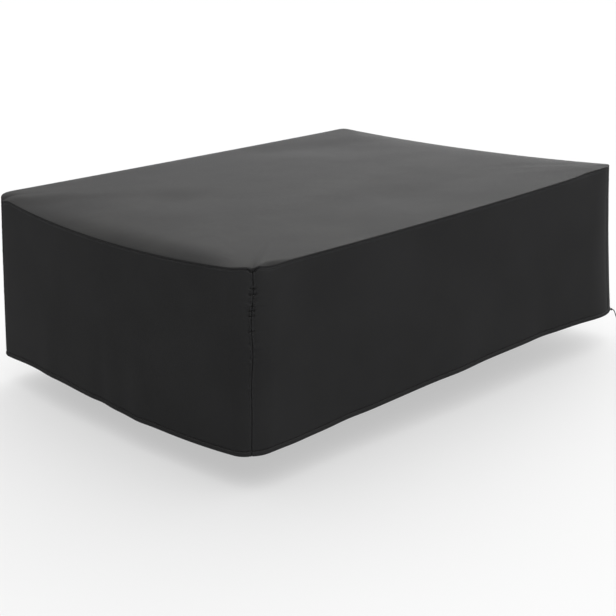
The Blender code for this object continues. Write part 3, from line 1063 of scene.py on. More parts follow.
def pucker_recipe() -> Recipe:
    """Height of the small gathers beside a seam, which run away from it and die out.

    Returns:
        The recipe.
    """
    group = Recipe("pucker", Tree.GEOMETRY,
                   {"Distance": 1.0, "Run": 0.0, "Pitch": 0.03, "Reach": 0.02, "Height": 0.001,
                    "Crease": 0.0, "Seed": 0.0}, "Float Height")
    turn = group.math('ADD', group.math('DIVIDE', group["Run"], group["Pitch"]),
                      group["Seed"])
    noise = group.out("ShaderNodeTexNoise", {"W": turn, "Scale": 1.0, "Detail": 1.0,
                                             "Roughness": 0.4}, noise_dimensions='1D')
    wave = group.math('MULTIPLY_ADD', noise, 2.0, -1.0)
    crease = group.ramp(group.math('ABSOLUTE', wave), 0.0, 0.45, group["Crease"], 0.0)
    wave = group.math('SUBTRACT', wave, crease)
    away = group.math('DIVIDE', group["Distance"], group["Reach"])
    fade = group.math('EXPONENT', group.math('MULTIPLY', away, -1.0))
    start = group.ramp(group["Distance"], 0.0025, 0.0075)    # the turned-in lip stays smooth
    height = group.math('MULTIPLY', group.math('MULTIPLY', wave, fade), start)
    return group.give(group.math('MULTIPLY', height, group["Height"]))


def cloth_recipe(pucker: Recipe) -> Recipe:
    """Give a panel the gathers along its seams and the faint waves of hanging cloth.

    Args:
        pucker: the recipe for the gathers' height.

    Returns:
        The recipe.
    """
    group = Recipe("sewn_cloth", Tree.GEOMETRY,
                   {"Cloth": "Geometry", "Seam Gather": 0.0026, "Rim Gather": 0.0005,
                    "Hem Gather": 0.0012, "Wave Height": 0.0010, "Wave Size": 0.16,
                    "Seed": 3.0, "Finish": "Material"}, "Geometry Sewn")

    def mark(name: str) -> Socket:
        """Read one of the panel's marks."""
        return group.out("GeometryNodeInputNamedAttribute", {"Name": name}, "Attribute",
                         data_type='FLOAT')

    def gather(edge: str, pitch: float, reach: float, height: Value, crease: float) -> Socket:
        """Gathers along one kind of edge."""
        return group.use(pucker, {
            "Distance": mark(edge + "_distance"), "Run": mark(edge + "_run"), "Pitch": pitch,
            "Reach": reach, "Height": height, "Crease": crease, "Seed": group["Seed"]})

    pull = group.math('MULTIPLY', group["Seam Gather"], mark("seam_pull"))
    heights = [gather("seam", 0.026, 0.014, pull, 1.0),
               gather("rim", 0.034, 0.020, group["Rim Gather"], 0.0),
               gather("hem", 0.040, 0.022, group["Hem Gather"], 0.5)]
    place = group.scaled(group.out("GeometryNodeInputPosition"),
                         group.math('DIVIDE', 1.0, group["Wave Size"]))
    waves = group.noise(place, 1.0, 1.5, 0.4, group["Seed"])
    wave = group.math('MULTIPLY', group.math('MULTIPLY_ADD', waves, 2.0, -1.0),
                      group["Wave Height"])
    heights.append(group.math('MULTIPLY', wave, group.ramp(mark("nearest_seam"), 0.004, 0.05)))
    total = reduce(lambda under, height: group.math('ADD', under, height), heights)
    offset = group.scaled(group.out("GeometryNodeInputNormal"), total)
    return group.give_dressed(group.out("GeometryNodeSetPosition",
                                        {"Geometry": group["Cloth"], "Offset": offset}))


def stitch_recipe() -> Recipe:
    """Lay a row of stitches along a guide line, flat on the cloth nearest to it.

    Returns:
        The recipe.
    """
    group = Recipe("topstitches", Tree.GEOMETRY,
                   {"Guide": "Geometry", "Cloth": "Object", "Pitch": 0.0042,
                    "Stitch Length": 0.0034, "Thread Radius": 0.00036, "Finish": "Material"},
                   "Geometry Stitches")
    cloth = group.out("GeometryNodeObjectInfo", {"Object": group["Cloth"]}, "Geometry")
    line = group.out("GeometryNodeMeshToCurve", {"Mesh": group["Guide"]})
    spread = group.out("GeometryNodeResampleCurve", {"Curve": line, "Length": group["Pitch"]},
                       mode='LENGTH')
    kept = group.node("GeometryNodeCaptureAttribute", {"Geometry": spread})
    kept.capture_items.new('VECTOR', "Tangent")
    group.feed(kept.inputs["Tangent"], group.out("GeometryNodeInputTangent"))
    place, normal = [
        group.out("GeometryNodeSampleNearestSurface", {"Mesh": cloth, "Value": group.out(kind)},
                  "Value", data_type='FLOAT_VECTOR')
        for kind in ("GeometryNodeInputPosition", "GeometryNodeInputNormal")]
    laid = group.out("GeometryNodeSetPosition", {"Geometry": kept.outputs["Geometry"],
                                                 "Position": place})
    along = group.out("FunctionNodeAlignRotationToVector",
                      {"Vector": kept.outputs["Tangent"]}, axis='X')
    flat = group.out("FunctionNodeAlignRotationToVector",
                     {"Rotation": along, "Vector": normal}, axis='Z', pivot_axis='X')
    ball = group.out("GeometryNodeMeshUVSphere", {"Segments": 6, "Rings": 4, "Radius": 1.0})
    radius = group["Thread Radius"]
    size = group.out("ShaderNodeCombineXYZ",
                     {"X": group.math('DIVIDE', group["Stitch Length"], 2.0),
                      "Y": radius, "Z": radius})
    stitch = group.out("GeometryNodeTransform", {"Geometry": ball, "Scale": size})
    smooth = group.out("GeometryNodeSetShadeSmooth", {"Geometry": stitch})
    return group.give_dressed(group.out("GeometryNodeInstanceOnPoints",
                                        {"Points": laid, "Instance": smooth,
                                         "Rotation": flat}))


@dataclass
class SewingRoom:
    """The geometry recipes and finishes that every panel shares."""

    shop: Workshop
    cloth_thickness: float = 0.0011
    outer: bpy.types.Material = field(init=False)
    inner: bpy.types.Material = field(init=False)
    thread: bpy.types.Material = field(init=False)
    sewn: Recipe = field(init=False)
    stitches: Recipe = field(init=False)

    def __post_init__(self) -> None:
        """Mix the finishes and make the recipes."""
        self.outer = ClothFinish("black_coated_cloth").material(self.shop)
        self.inner = ClothFinish("cloth_backing", roughness=0.42, dust_and_painted_light=(0.0, 0.0),
                                 weave_height=0.00002).material(self.shop)
        self.thread = ThreadFinish("sewing_thread").material(self.shop)
        self.sewn = cloth_recipe(pucker_recipe())
        self.stitches = stitch_recipe()

    def sew(self, panel: Piece) -> None:
        """Give a panel its gathers, waves and finish."""
        panel.data = recipe_mesh(panel, self.sewn, {"Finish": self.outer})

    def thicken(self, panel: Piece) -> None:
        """Give a panel its thickness, with the coating's back on its inner side.

        Args:
            panel: the sewn panel.
        """
        panel.data.materials.append(self.inner)
        thickness = panel.modifiers.new("cloth", 'SOLIDIFY')
        thickness.thickness = self.cloth_thickness
        thickness.offset = -1
        thickness.material_offset = 1

    def stitch(self, name: str, lines: list[Array], panel: Piece) -> Piece:
        """Sew rows of stitches on a panel.

        Args:
            name: the new piece's name.
            lines: the points of each row's guide line.
            panel: the sewn panel, before it has its thickness.

        Returns:
            The stitches, joined in one piece.
        """
        points, edges = [], []
        for line in lines:
            edges += [(len(points) + step, len(points) + step + 1)
                      for step in range(len(line) - 1)]
            points += line.tolist()
        mesh = bpy.data.meshes.new(name)
        mesh.from_pydata(points, edges, [])
        row = add_object(name, mesh)
        row.data = recipe_mesh(row, self.stitches, {"Cloth": panel, "Finish": self.thread})
        return row


# ---------------------------------------------------------------- panels

@dataclass(frozen=True)
class SeamForm:
    """How two panels turn in where they are sewn together."""

    roll_radius: float = 0.0038   # of the top's edge
    lip_radius: float = 0.0022    # of cloth that turns in to the rim's seam
    upright_radius: float = 0.0046    # and of cloth that turns in to an upright seam
    allowance: float = 0.008      # of cloth that stands in past the seam
    gap: float = 0.0004           # between the two cloths in a seam
    lip_steps: int = 4

    @property
    def drop(self) -> float:
        """Height from the rim down to the seam under it."""
        return self.roll_radius + self.lip_radius

    def lip(self, radius: float) -> tuple[Array, Array]:
        """Out of the seam: distances along the face, and depths behind it.

        Args:
            radius: of the cloth's turn.

        Returns:
            First the edge of the seam allowance, then the points of a quarter turn.
        """
        angles = np.linspace(0, math.pi / 2, self.lip_steps + 1)
        along = radius * (1 - np.cos(angles))
        deep = radius * (1 - np.sin(angles))
        return (np.concatenate([[0.0], along]),
                np.concatenate([[radius + self.allowance], deep]))


@dataclass(frozen=True)
class Lines:
    """Rows or columns of a panel's mesh: where each lies, and how deep behind the face."""

    shares: Array         # fraction of the whole span
    offsets: Array        # metres added to that
    depths: Array

    def places(self, span: float) -> Array:
        """Distance of each line from the first seam, over a span."""
        return self.shares * span + self.offsets


@dataclass
class Skirt:
    """One hanging skirt, with its turned-in edges, its hem and its stitches."""

    side: Side
    form: CoverForm
    seams: SeamForm
    room: SewingRoom
    row_step: float = 0.0046
    row_crowding: float = 1.3         # over 1, rows are closer together near the rim
    crease_rows: tuple[float, ...] = (-2.0, -1.4, -0.9, -0.45, 0.0, 0.45, 0.9, 1.4, 2.0)
    closest_rows: float = 0.0006
    column_step: float = 0.014
    near: tuple[float, ...] = (0.0014, 0.0026, 0.0036, 0.0045, 0.0055, 0.0066, 0.0080, 0.0100,
                               0.0130, 0.0170, 0.0220, 0.0280, 0.0350, 0.0430)
    stitch_inset: float = 0.0065      # topstitches beside a seam
    stitch_groove: float = 0.0005     # under the rim
    seam_groove: float = 0.0013       # beside an upright seam
    stitch_reach: float = 0.0020
    hem_depth: float = 0.019          # from the lower edge up to the hem's stitches
    hem_zone: float = 0.045           # height of the finely divided band above the edge
    outside: tuple[float, ...] = (0.045, 0.036, 0.029, 0.0240, 0.0220, 0.0208, 0.0198, 0.0190,
                                  0.0182, 0.0172, 0.0160, 0.0143, 0.0122, 0.0100, 0.0078,
                                  0.0055)     # heights of that band's rows
    hem_radius: float = 0.0031        # of the turn at the lower edge, round the drawcord
    hem_bulge: float = 0.0022         # how far the channel stands out
    channel_power: float = 0.7        # under 1, the channel is fuller than half a wave
    hem_groove: float = 0.0030
    turn_steps: int = 8
    inside: tuple[float, ...] = (0.0070, 0.0105, 0.0140, 0.0160, 0.0178, 0.0190, 0.0204,
                                 0.0230)      # heights of the rows on the turned-up cloth
    layers: float = 0.0024            # from the outer face to the turned-up cloth's face
    pull_start: float = 1.25          # the gathers' strength at the rim, where 1 is the most ...
    pull_loss: float = 1.1            # ... and how much of it is lost down to the hem
    runs_apart: float = 3.0           # in metres, so that no two seams' gathers are alike

    @property
    def number(self) -> int:
        """The side's number."""
        return self.side.value

    @property
    def fall(self) -> float:
        """Height from the seam under the rim down to the hem's lowest level."""
        return self.form.height - self.seams.drop

    @property
    def length(self) -> float:
        """Length of the skirt halfway down, from seam to seam."""
        return self.form.plan(self.number, 0.5).length

    def columns(self) -> Lines:
        """Lay out the columns.

        Returns:
            The columns from the first upright seam to the second.
        """
        along, deep = self.seams.lip(self.seams.upright_radius)
        edge = self.seams.gap / 2 + np.concatenate(
            [along, self.seams.upright_radius + np.array(self.near)])
        depth = np.concatenate([deep, np.zeros(len(self.near))])
        groove = self.seam_groove * bell(edge - self.stitch_inset, self.stitch_reach)
        count = round((self.length - 2 * edge[-1]) / self.column_step)
        share = np.linspace(0, 1, count + 1)[1:-1]
        return Lines(
            np.concatenate([np.zeros(len(edge)), share, np.ones(len(edge))]),
            np.concatenate([edge, edge[-1] * (1 - 2 * share), -edge[::-1]]),
            np.concatenate([depth, np.zeros(len(share)), (depth + groove)[::-1]]))

    def crease_drops(self, start: float) -> Array:
        """Find where the creases need rows of their own.

        Args:
            start: how far below the seam under the rim the even rows start.

        Returns:
            How far below that seam the creases' rows are, from the start on.
        """
        drops = [crease.below - self.seams.drop + crease.half_height * part
                 for corner in self.form.ends(self.number)
                 for crease in corner.creases for part in self.crease_rows]
        return np.array([drop for drop in drops if drop > start + self.closest_rows])

    def rows(self) -> Lines:
        """Lay out the rows.

        Returns:
            The rows from the seam under the rim, down the face, round the hem and up inside
            it.
        """
        along, deep = self.seams.lip(self.seams.lip_radius)
        upper = np.concatenate([along, self.seams.lip_radius + np.array(self.near)])
        upper_depth = np.concatenate([deep, np.zeros(len(self.near))])
        upper_depth += self.stitch_groove * bell(upper - self.stitch_inset, self.stitch_reach)

        start = upper[-1]
        even = self.fall - start - self.hem_zone
        count = round(even / self.row_step)
        share = np.linspace(0, 1, count + 1)[1:-1] ** self.row_crowding
        creased = (self.crease_drops(start) - start) / even
        share = spaced(np.concatenate([share, creased]), self.closest_rows / self.fall)

        lower, inside = np.array(self.outside), np.array(self.inside)
        channel = np.sin(math.pi * np.clip(lower / self.hem_depth, 0, 1)) ** self.channel_power
        lower_depth = self.hem_groove * bell(lower - self.hem_depth, self.stitch_reach)
        angles = np.linspace(0, math.pi, self.turn_steps + 1)
        turn = self.hem_radius * (1 - np.sin(angles))
        turn_depth = self.hem_radius * (1 - np.cos(angles))
        inside_depth = blend(2 * self.hem_radius, self.layers, ease(inside / self.hem_depth))
        inside_depth += self.hem_groove * bell(inside - self.hem_depth, self.stitch_reach)
        heights = np.concatenate([lower, turn, inside])
        return Lines(
            np.concatenate([np.zeros(len(upper)), share, np.ones(len(heights))]),
            np.concatenate([upper, blend(start, -self.hem_zone, share), -heights]),
            np.concatenate([upper_depth, np.zeros(len(share)),
                            lower_depth - self.hem_bulge * channel, turn_depth,
                            inside_depth]))

    def build(self) -> tuple[Array, Array, dict[str, Array]]:
        """Work out the skirt's outer face.

        Returns:
            The grid of points, their places in the flat cloth, and the marks at them.
        """
        rows, columns = self.rows(), self.columns()
        drops = rows.places(self.fall)
        grid = []
        for share, offset, depth, drop in zip(rows.shares, rows.offsets, rows.depths, drops):
            down = float(np.clip((self.seams.drop + drop) / self.form.height, 0, 1))
            plan = self.form.plan(self.number, down)
            distance = columns.places(plan.length)
            fraction = distance / plan.length
            point, outward = plan.at(distance)
            out = self.form.stand_out(self.number, fraction, down)
            if drop < 2 * self.seams.lip_radius and depth <= self.seams.lip_radius:
                depth = depth * self.form.seam_depth(self.number, fraction)
            point = point + outward * (out - depth - columns.depths)[:, None]
            top = self.form.rim_level(self.number, fraction) - self.seams.drop - self.seams.gap
            level = blend(top, self.form.hem_edge(self.number, fraction), share) - offset
            grid.append(np.column_stack([point, level]))
        points = np.array(grid)

        side_run = columns.places(self.length)
        down_run = travelled(np.column_stack([rows.depths, drops])) - self.seams.allowance
        flat = np.stack(np.meshgrid(side_run, -down_run), axis=-1)

        start, end = self.form.ends(self.number)
        first = side_run < side_run[-1] / 2
        corner = np.where(first, self.number, (self.number + 1) % 4)
        down = drops[:, None]
        upper = ease(self.pull_start - self.pull_loss * down / self.fall)
        level_run = side_run + self.number * self.runs_apart
        marks = {
            "seam_distance": np.minimum(side_run, side_run[-1] - side_run),
            "seam_run": down + corner * self.runs_apart,
            "seam_pull": upper * np.where(first, start.seam_pull, end.seam_pull),
            "rim_distance": np.clip(down_run, 0, None)[:, None],
            "rim_run": level_run,
            "hem_distance": np.abs(self.fall - down),
            "hem_run": level_run,
        }
        marks["nearest_seam"] = np.minimum(
            np.minimum(marks["seam_distance"], marks["rim_distance"]), marks["hem_distance"])
        return points, flat, {label: np.broadcast_to(values, points.shape[:2])
                              for label, values in marks.items()}

    def clipped_quads(self, rows: int, columns: int) -> Array:
        """The skirt's faces, without the seam allowance where it is clipped away.

        Args:
            rows: how many rows of points the skirt has.
            columns: how many columns.

        Returns:
            Four point numbers for each face.
        """
        row, column = np.divmod(np.arange((rows - 1) * (columns - 1)), columns - 1)
        at_seam = (column == 0) | (column == columns - 2)
        turned_up = row >= rows - 1 - self.turn_steps - len(self.inside)
        clipped = at_seam & ((row == 0) | turned_up)
        return grid_quads(rows, columns)[~clipped]

    def make(self) -> Piece:
        """Build, sew and stitch the skirt, and hand it over.

        Returns:
            The skirt.
        """
        points, flat, marks = self.build()
        name = self.side.node
        piece = sheet_mesh(name + "_cloth", points.reshape(-1, 3),
                           self.clipped_quads(*points.shape[:2]), flat.reshape(-1, 2),
                           {label: values.ravel() for label, values in marks.items()})
        self.room.sew(piece)
        stitches = self.room.stitch(name + "_stitches", self.guides(points), piece)
        self.room.thicken(piece)
        hand_over(piece, "cover_cloth", name)
        hand_over(stitches, "cover_cloth")
        return piece

    def guides(self, points: Array) -> list[Array]:
        """Draw the guide lines of the stitches.

        Args:
            points: the grid of the skirt's points.

        Returns:
            The lines under the rim, along the hem and beside the last seam.
        """
        drops = self.rows().places(self.fall)
        face = drops[:len(drops) - self.turn_steps - len(self.inside)]
        rim_row = int(np.argmin(np.abs(face - self.stitch_inset)))
        hem_row = int(np.argmin(np.abs(face - (self.fall - self.hem_depth))))
        run = self.columns().places(self.length)
        beside = int(np.argmin(np.abs(run - self.stitch_inset)))
        return [points[rim_row, beside:-beside], points[hem_row, beside:-beside],
                points[rim_row:hem_row + 1, -1 - beside]]


@dataclass
class TopPanel:
    """The top, which bends down to its rim and rolls over it into the seam."""

    form: CoverForm
    seams: SeamForm
    room: SewingRoom
    long_cells: int = 170
    short_cells: int = 136
    crowding: float = 0.55            # how much closer together the cells are at the corners
    inner_share: float = 0.925        # of the length and width, inside the rings of faces
    roll_steps: int = 6
    near: tuple[float, ...] = (0.0080, 0.0105, 0.0135)
    ring_steps: int = 11
    ring_crowding: float = 1.25       # over 1, rings are closer together near the rim
    crease_start: float = 0.012       # how far in from the rim the creases are at full height
    probe: float = 0.004              # how far in from the rim the top's slope there is taken

    def rim(self) -> dict[str, Array]:
        """Draw the rim as one fine closed line.

        Returns:
            Its points and directions outwards, and what the top does at each point.
        """
        sides = []
        for number in range(4):
            plan = self.form.plan(number, 0.0)
            fraction = plan.distances / plan.length
            out = self.form.stand_out(number, fraction, 0.0)
            place = plan.points + plan.outwards * out[:, None]
            roll, gentle = self.form.rim_bend(number, fraction)
            sides.append({
                "point": np.column_stack([place, self.form.rim_level(number, fraction)]),
                "outward": plan.outwards, "roll": roll, "gentle": gentle,
                "seam": self.form.seam_depth(number, fraction),
                "shoulder": self.form.shoulder_drop(number, fraction)})
        return {name: np.concatenate([side[name][:-1] for side in sides]) for name in sides[0]}

    def spread(self, cells: int) -> Array:
        """Fractions along a side, closer together at its ends."""
        even = np.linspace(0, 1, cells + 1)
        return even - self.crowding * np.sin(2 * math.pi * even) / (2 * math.pi)

    def columns(self, place: Array) -> tuple[Array, Array]:
        """Lay out the columns round the rim, closer together at the corners.

        Args:
            place: the rim's points, seen from above.

        Returns:
            Distances along the rim: to each of its points and round to the first, and to
            each column.
        """
        run = travelled(np.vstack([place, place[:1]]))
        middles = [self.form.arc(number, 0.0, np.array([0.5]))[0][0] for number in range(4)]
        starts = [run[np.argmin(np.linalg.norm(place - middle, axis=1))] for middle in middles]
        wanted = []
        for number, cells in enumerate((self.long_cells, self.short_cells) * 2):
            span = (starts[(number + 1) % 4] - starts[number]) % run[-1]
            wanted.append(starts[number] + span * self.spread(cells)[:-1])
        return run, np.concatenate(wanted) % run[-1]

    def height(self, rim: dict[str, Array], points: Array) -> Array:
        """Height of the top's face.

        Args:
            rim: the rim's line.
            points: places, seen from above.

        Returns:
            The height at each place.
        """
        rim_x, rim_y, rim_z = rim["point"].T
        angle, turn = np.unwrap(np.arctan2(rim_y, rim_x)), 2 * math.pi
        angles = np.concatenate([angle - turn, angle, angle + turn])
        drop = rim_z - self.form.top_base(rim_x, rim_y) + rim["shoulder"]
        x, y = points.T
        length, rim_drop, roll, gentle, shoulder = [
            np.interp(np.arctan2(y, x), angles, np.tile(values, 3))
            for values in (np.hypot(rim_x, rim_y), drop, rim["roll"], rim["gentle"],
                           rim["shoulder"])]
        inward = 1 - np.hypot(x, y) / length
        bend = self.form.bend(inward / roll, gentle)
        inside = ease(inward * length / self.crease_start)
        over = np.clip(1 - inward * length / self.form.shoulder_bend, 0, 1) ** 2
        return (self.form.top_base(x, y) + rim_drop * bend - shoulder * over
                + self.form.top_creases(x, y) * inside)

    def inner_grid(self) -> tuple[Array, Array, Array]:
        """Lay out the grid inside the rings.

        Returns:
            Its points seen from above, the numbers of those round its border, and its faces.
        """
        wide, tall = self.long_cells + 1, self.short_cells + 1
        xs, ys = [self.inner_share * size / 2 * (2 * self.spread(cells) - 1) for size, cells
                  in ((self.form.length, self.long_cells), (self.form.width, self.short_cells))]
        border = np.concatenate([
            np.arange(self.long_cells),
            np.arange(self.short_cells) * wide + wide - 1,
            (tall - 1) * wide + np.arange(self.long_cells, 0, -1),
            np.arange(self.short_cells, 0, -1) * wide])
        points = np.stack(np.meshgrid(xs, ys), axis=-1).reshape(-1, 2)
        return points, border, grid_quads(tall, wide)[:, ::-1]

    def build(self) -> tuple[Array, Array, Array, dict[str, Array]]:
        """Work out the top's outer face.

        Returns:
            Its points, faces, places in the flat cloth and marks.
        """
        rim = self.rim()
        run, distance = self.columns(rim["point"][:, :2])

        def around(values: Array) -> Array:
            """Read values along the rim at each column."""
            return np.interp(distance, run, np.concatenate([values, values[:1]]))

        edge = np.stack([around(values) for values in rim["point"].T], axis=1)
        outward = np.stack([around(values) for values in rim["outward"].T], axis=1)
        outward /= np.linalg.norm(outward, axis=1)[:, None]
        seam_depth = around(rim["seam"])

        def inwards(depth: Number) -> Array:
            """Places some way in from the rim, seen from above."""
            return edge[:, :2] - outward * np.reshape(depth, (-1, 1))

        rise = (self.height(rim, inwards(self.probe)) - edge[:, 2]) / self.probe
        slope = np.arctan(np.clip(rise, 0, 1))
        radius, lip = self.seams.roll_radius, self.seams.lip_radius
        end_depth = radius * (1 - np.sin(slope))
        roll_length = radius * (math.pi / 2 - slope)
        side_level = -radius * np.tan(math.pi / 4 - slope / 2)
        rings, flats, seam_runs = [], [], []

        def add_ring(depth: Number, level: Array, beyond: Array) -> None:
            """Add a ring of points.

            Args:
                depth: how far in from the rim.
                level: height of each point.
                beyond: how far past the end of the roll the cloth has gone.
            """
            rings.append(np.column_stack([inwards(depth), level]))
            flats.append(edge[:, :2] + outward * (beyond - end_depth)[:, None])
            seam_runs.append(np.clip(self.seams.drop + roll_length - beyond, 0, None))

        for along, deep in zip(*self.seams.lip(lip)):
            level = edge[:, 2] - radius - lip + along
            turned_in = (lip - along) * math.pi / 2 + max(deep - lip, 0)
            depth = seam_depth * min(deep, lip) + max(deep - lip, 0)
            add_ring(depth, level, roll_length + radius + side_level + turned_in)
        for share in np.linspace(0, 1, self.roll_steps + 1):
            phi = share * (math.pi / 2 - slope)
            add_ring(radius * (1 - np.cos(phi)), edge[:, 2] + side_level + radius * np.sin(phi),
                     roll_length * (1 - share))
        for depth in self.near:
            add_ring(depth, self.height(rim, inwards(depth)), end_depth - depth)

        inner, border, faces = self.inner_grid()
        for step in range(1, self.ring_steps):
            share = (step / self.ring_steps) ** self.ring_crowding
            place = blend(inwards(self.near[-1]), inner[border], share)
            rings.append(np.column_stack([place, self.height(rim, place)]))
            flats.append(place)
            seam_runs.append(self.seams.drop + np.linalg.norm(place - edge[:, :2], axis=1))
        rings.append(np.column_stack([inner, self.height(rim, inner)]))
        flats.append(inner)
        seam_runs.append(np.min([self.form.length / 2 - np.abs(inner[:, 0]),
                                 self.form.width / 2 - np.abs(inner[:, 1])], axis=0))

        columns, count = len(edge), len(rings) - 1
        loops = [np.arange(columns) + ring * columns for ring in range(count)]
        loops.append(border + count * columns)
        quads = [np.stack([outer, np.roll(outer, -1), np.roll(inside, -1), inside], axis=1)
                 for outer, inside in zip(loops, loops[1:])]
        quads.append(faces + count * columns)
        points, distance_in = np.concatenate(rings), np.concatenate(seam_runs)
        none = np.ones(len(points))
        marks = {"seam_distance": none, "seam_run": none, "seam_pull": none * 0,
                 "rim_distance": distance_in, "nearest_seam": distance_in,
                 "rim_run": np.concatenate([np.tile(distance, count), none[:len(inner)] * 0]),
                 "hem_distance": none, "hem_run": none}
        return points, np.concatenate(quads), np.concatenate(flats), marks

    def make(self) -> Piece:
        """Build and sew the top, and hand it over.

        Returns:
            The top.
        """
        points, quads, flat, marks = self.build()
        piece = sheet_mesh("top_panel_cloth", points, quads, flat, marks)
        self.room.sew(piece)
        self.room.thicken(piece)
        hand_over(piece, "cover_cloth", "top_panel")
        return piece


# ---------------------------------------------------------------- drawcord

def braid_recipe() -> Recipe:
    """Braid yarns round a path: half of them turn one way, half the other, over and under.

    Returns:
        The recipe.
    """
    group = Recipe("braid", Tree.GEOMETRY,
                   {"Path": "Geometry", "Radius": 0.0020, "Yarns": 16, "Turn": 0.014,
                    "Yarn Radius": 0.00042, "Yarn Lift": 0.45, "Step": 0.0006,
                    "Finish": "Material"}, "Geometry Cord")
    path = group.out("GeometryNodeResampleCurve", {"Curve": group["Path"],
                                                   "Length": group["Step"]}, mode='LENGTH')
    copies = group.node("GeometryNodeDuplicateElements",
                        {"Geometry": path, "Amount": group["Yarns"]}, domain='SPLINE')
    number = copies.outputs["Duplicate Index"]
    way = group.math('MULTIPLY_ADD', group.math('MODULO', number, 2.0), -2.0, 1.0)
    half = group.math('DIVIDE', group["Yarns"], 2.0)
    place = group.math('DIVIDE', group.math('FLOOR', group.math('DIVIDE', number, 2.0)), half)
    length = group.out("GeometryNodeSplineParameter", output="Length")
    turns = group.math('DIVIDE', length, group["Turn"])
    angle = group.math('MULTIPLY', group.math('MULTIPLY_ADD', turns, way, place), 2 * math.pi)
    crossings = group.math('MULTIPLY', turns, group.math('MULTIPLY', half, 2 * math.pi))
    over = group.math('MULTIPLY', group.math('COSINE', crossings), way)
    middle = group.math('SUBTRACT', group["Radius"], group["Yarn Radius"])
    lift = group.math('MULTIPLY', group["Yarn Radius"], group["Yarn Lift"])
    radius = group.math('MULTIPLY_ADD', over, lift, middle)
    normal = group.out("GeometryNodeInputNormal")
    side = group.vector('CROSS_PRODUCT', group.out("GeometryNodeInputTangent"), normal)
    offset = group.vector('ADD', group.scaled(normal, group.math('COSINE', angle)),
                          group.scaled(side, group.math('SINE', angle)))
    moved = group.out("GeometryNodeSetPosition", {"Geometry": copies.outputs["Geometry"],
                                                  "Offset": group.scaled(offset, radius)})
    ring = group.out("GeometryNodeCurvePrimitiveCircle",
                     {"Resolution": 6, "Radius": group["Yarn Radius"]})
    yarns = group.out("GeometryNodeCurveToMesh",
                      {"Curve": moved, "Profile Curve": ring, "Fill Caps": True})
    return group.give_dressed(group.out("GeometryNodeSetShadeSmooth", {"Geometry": yarns}))


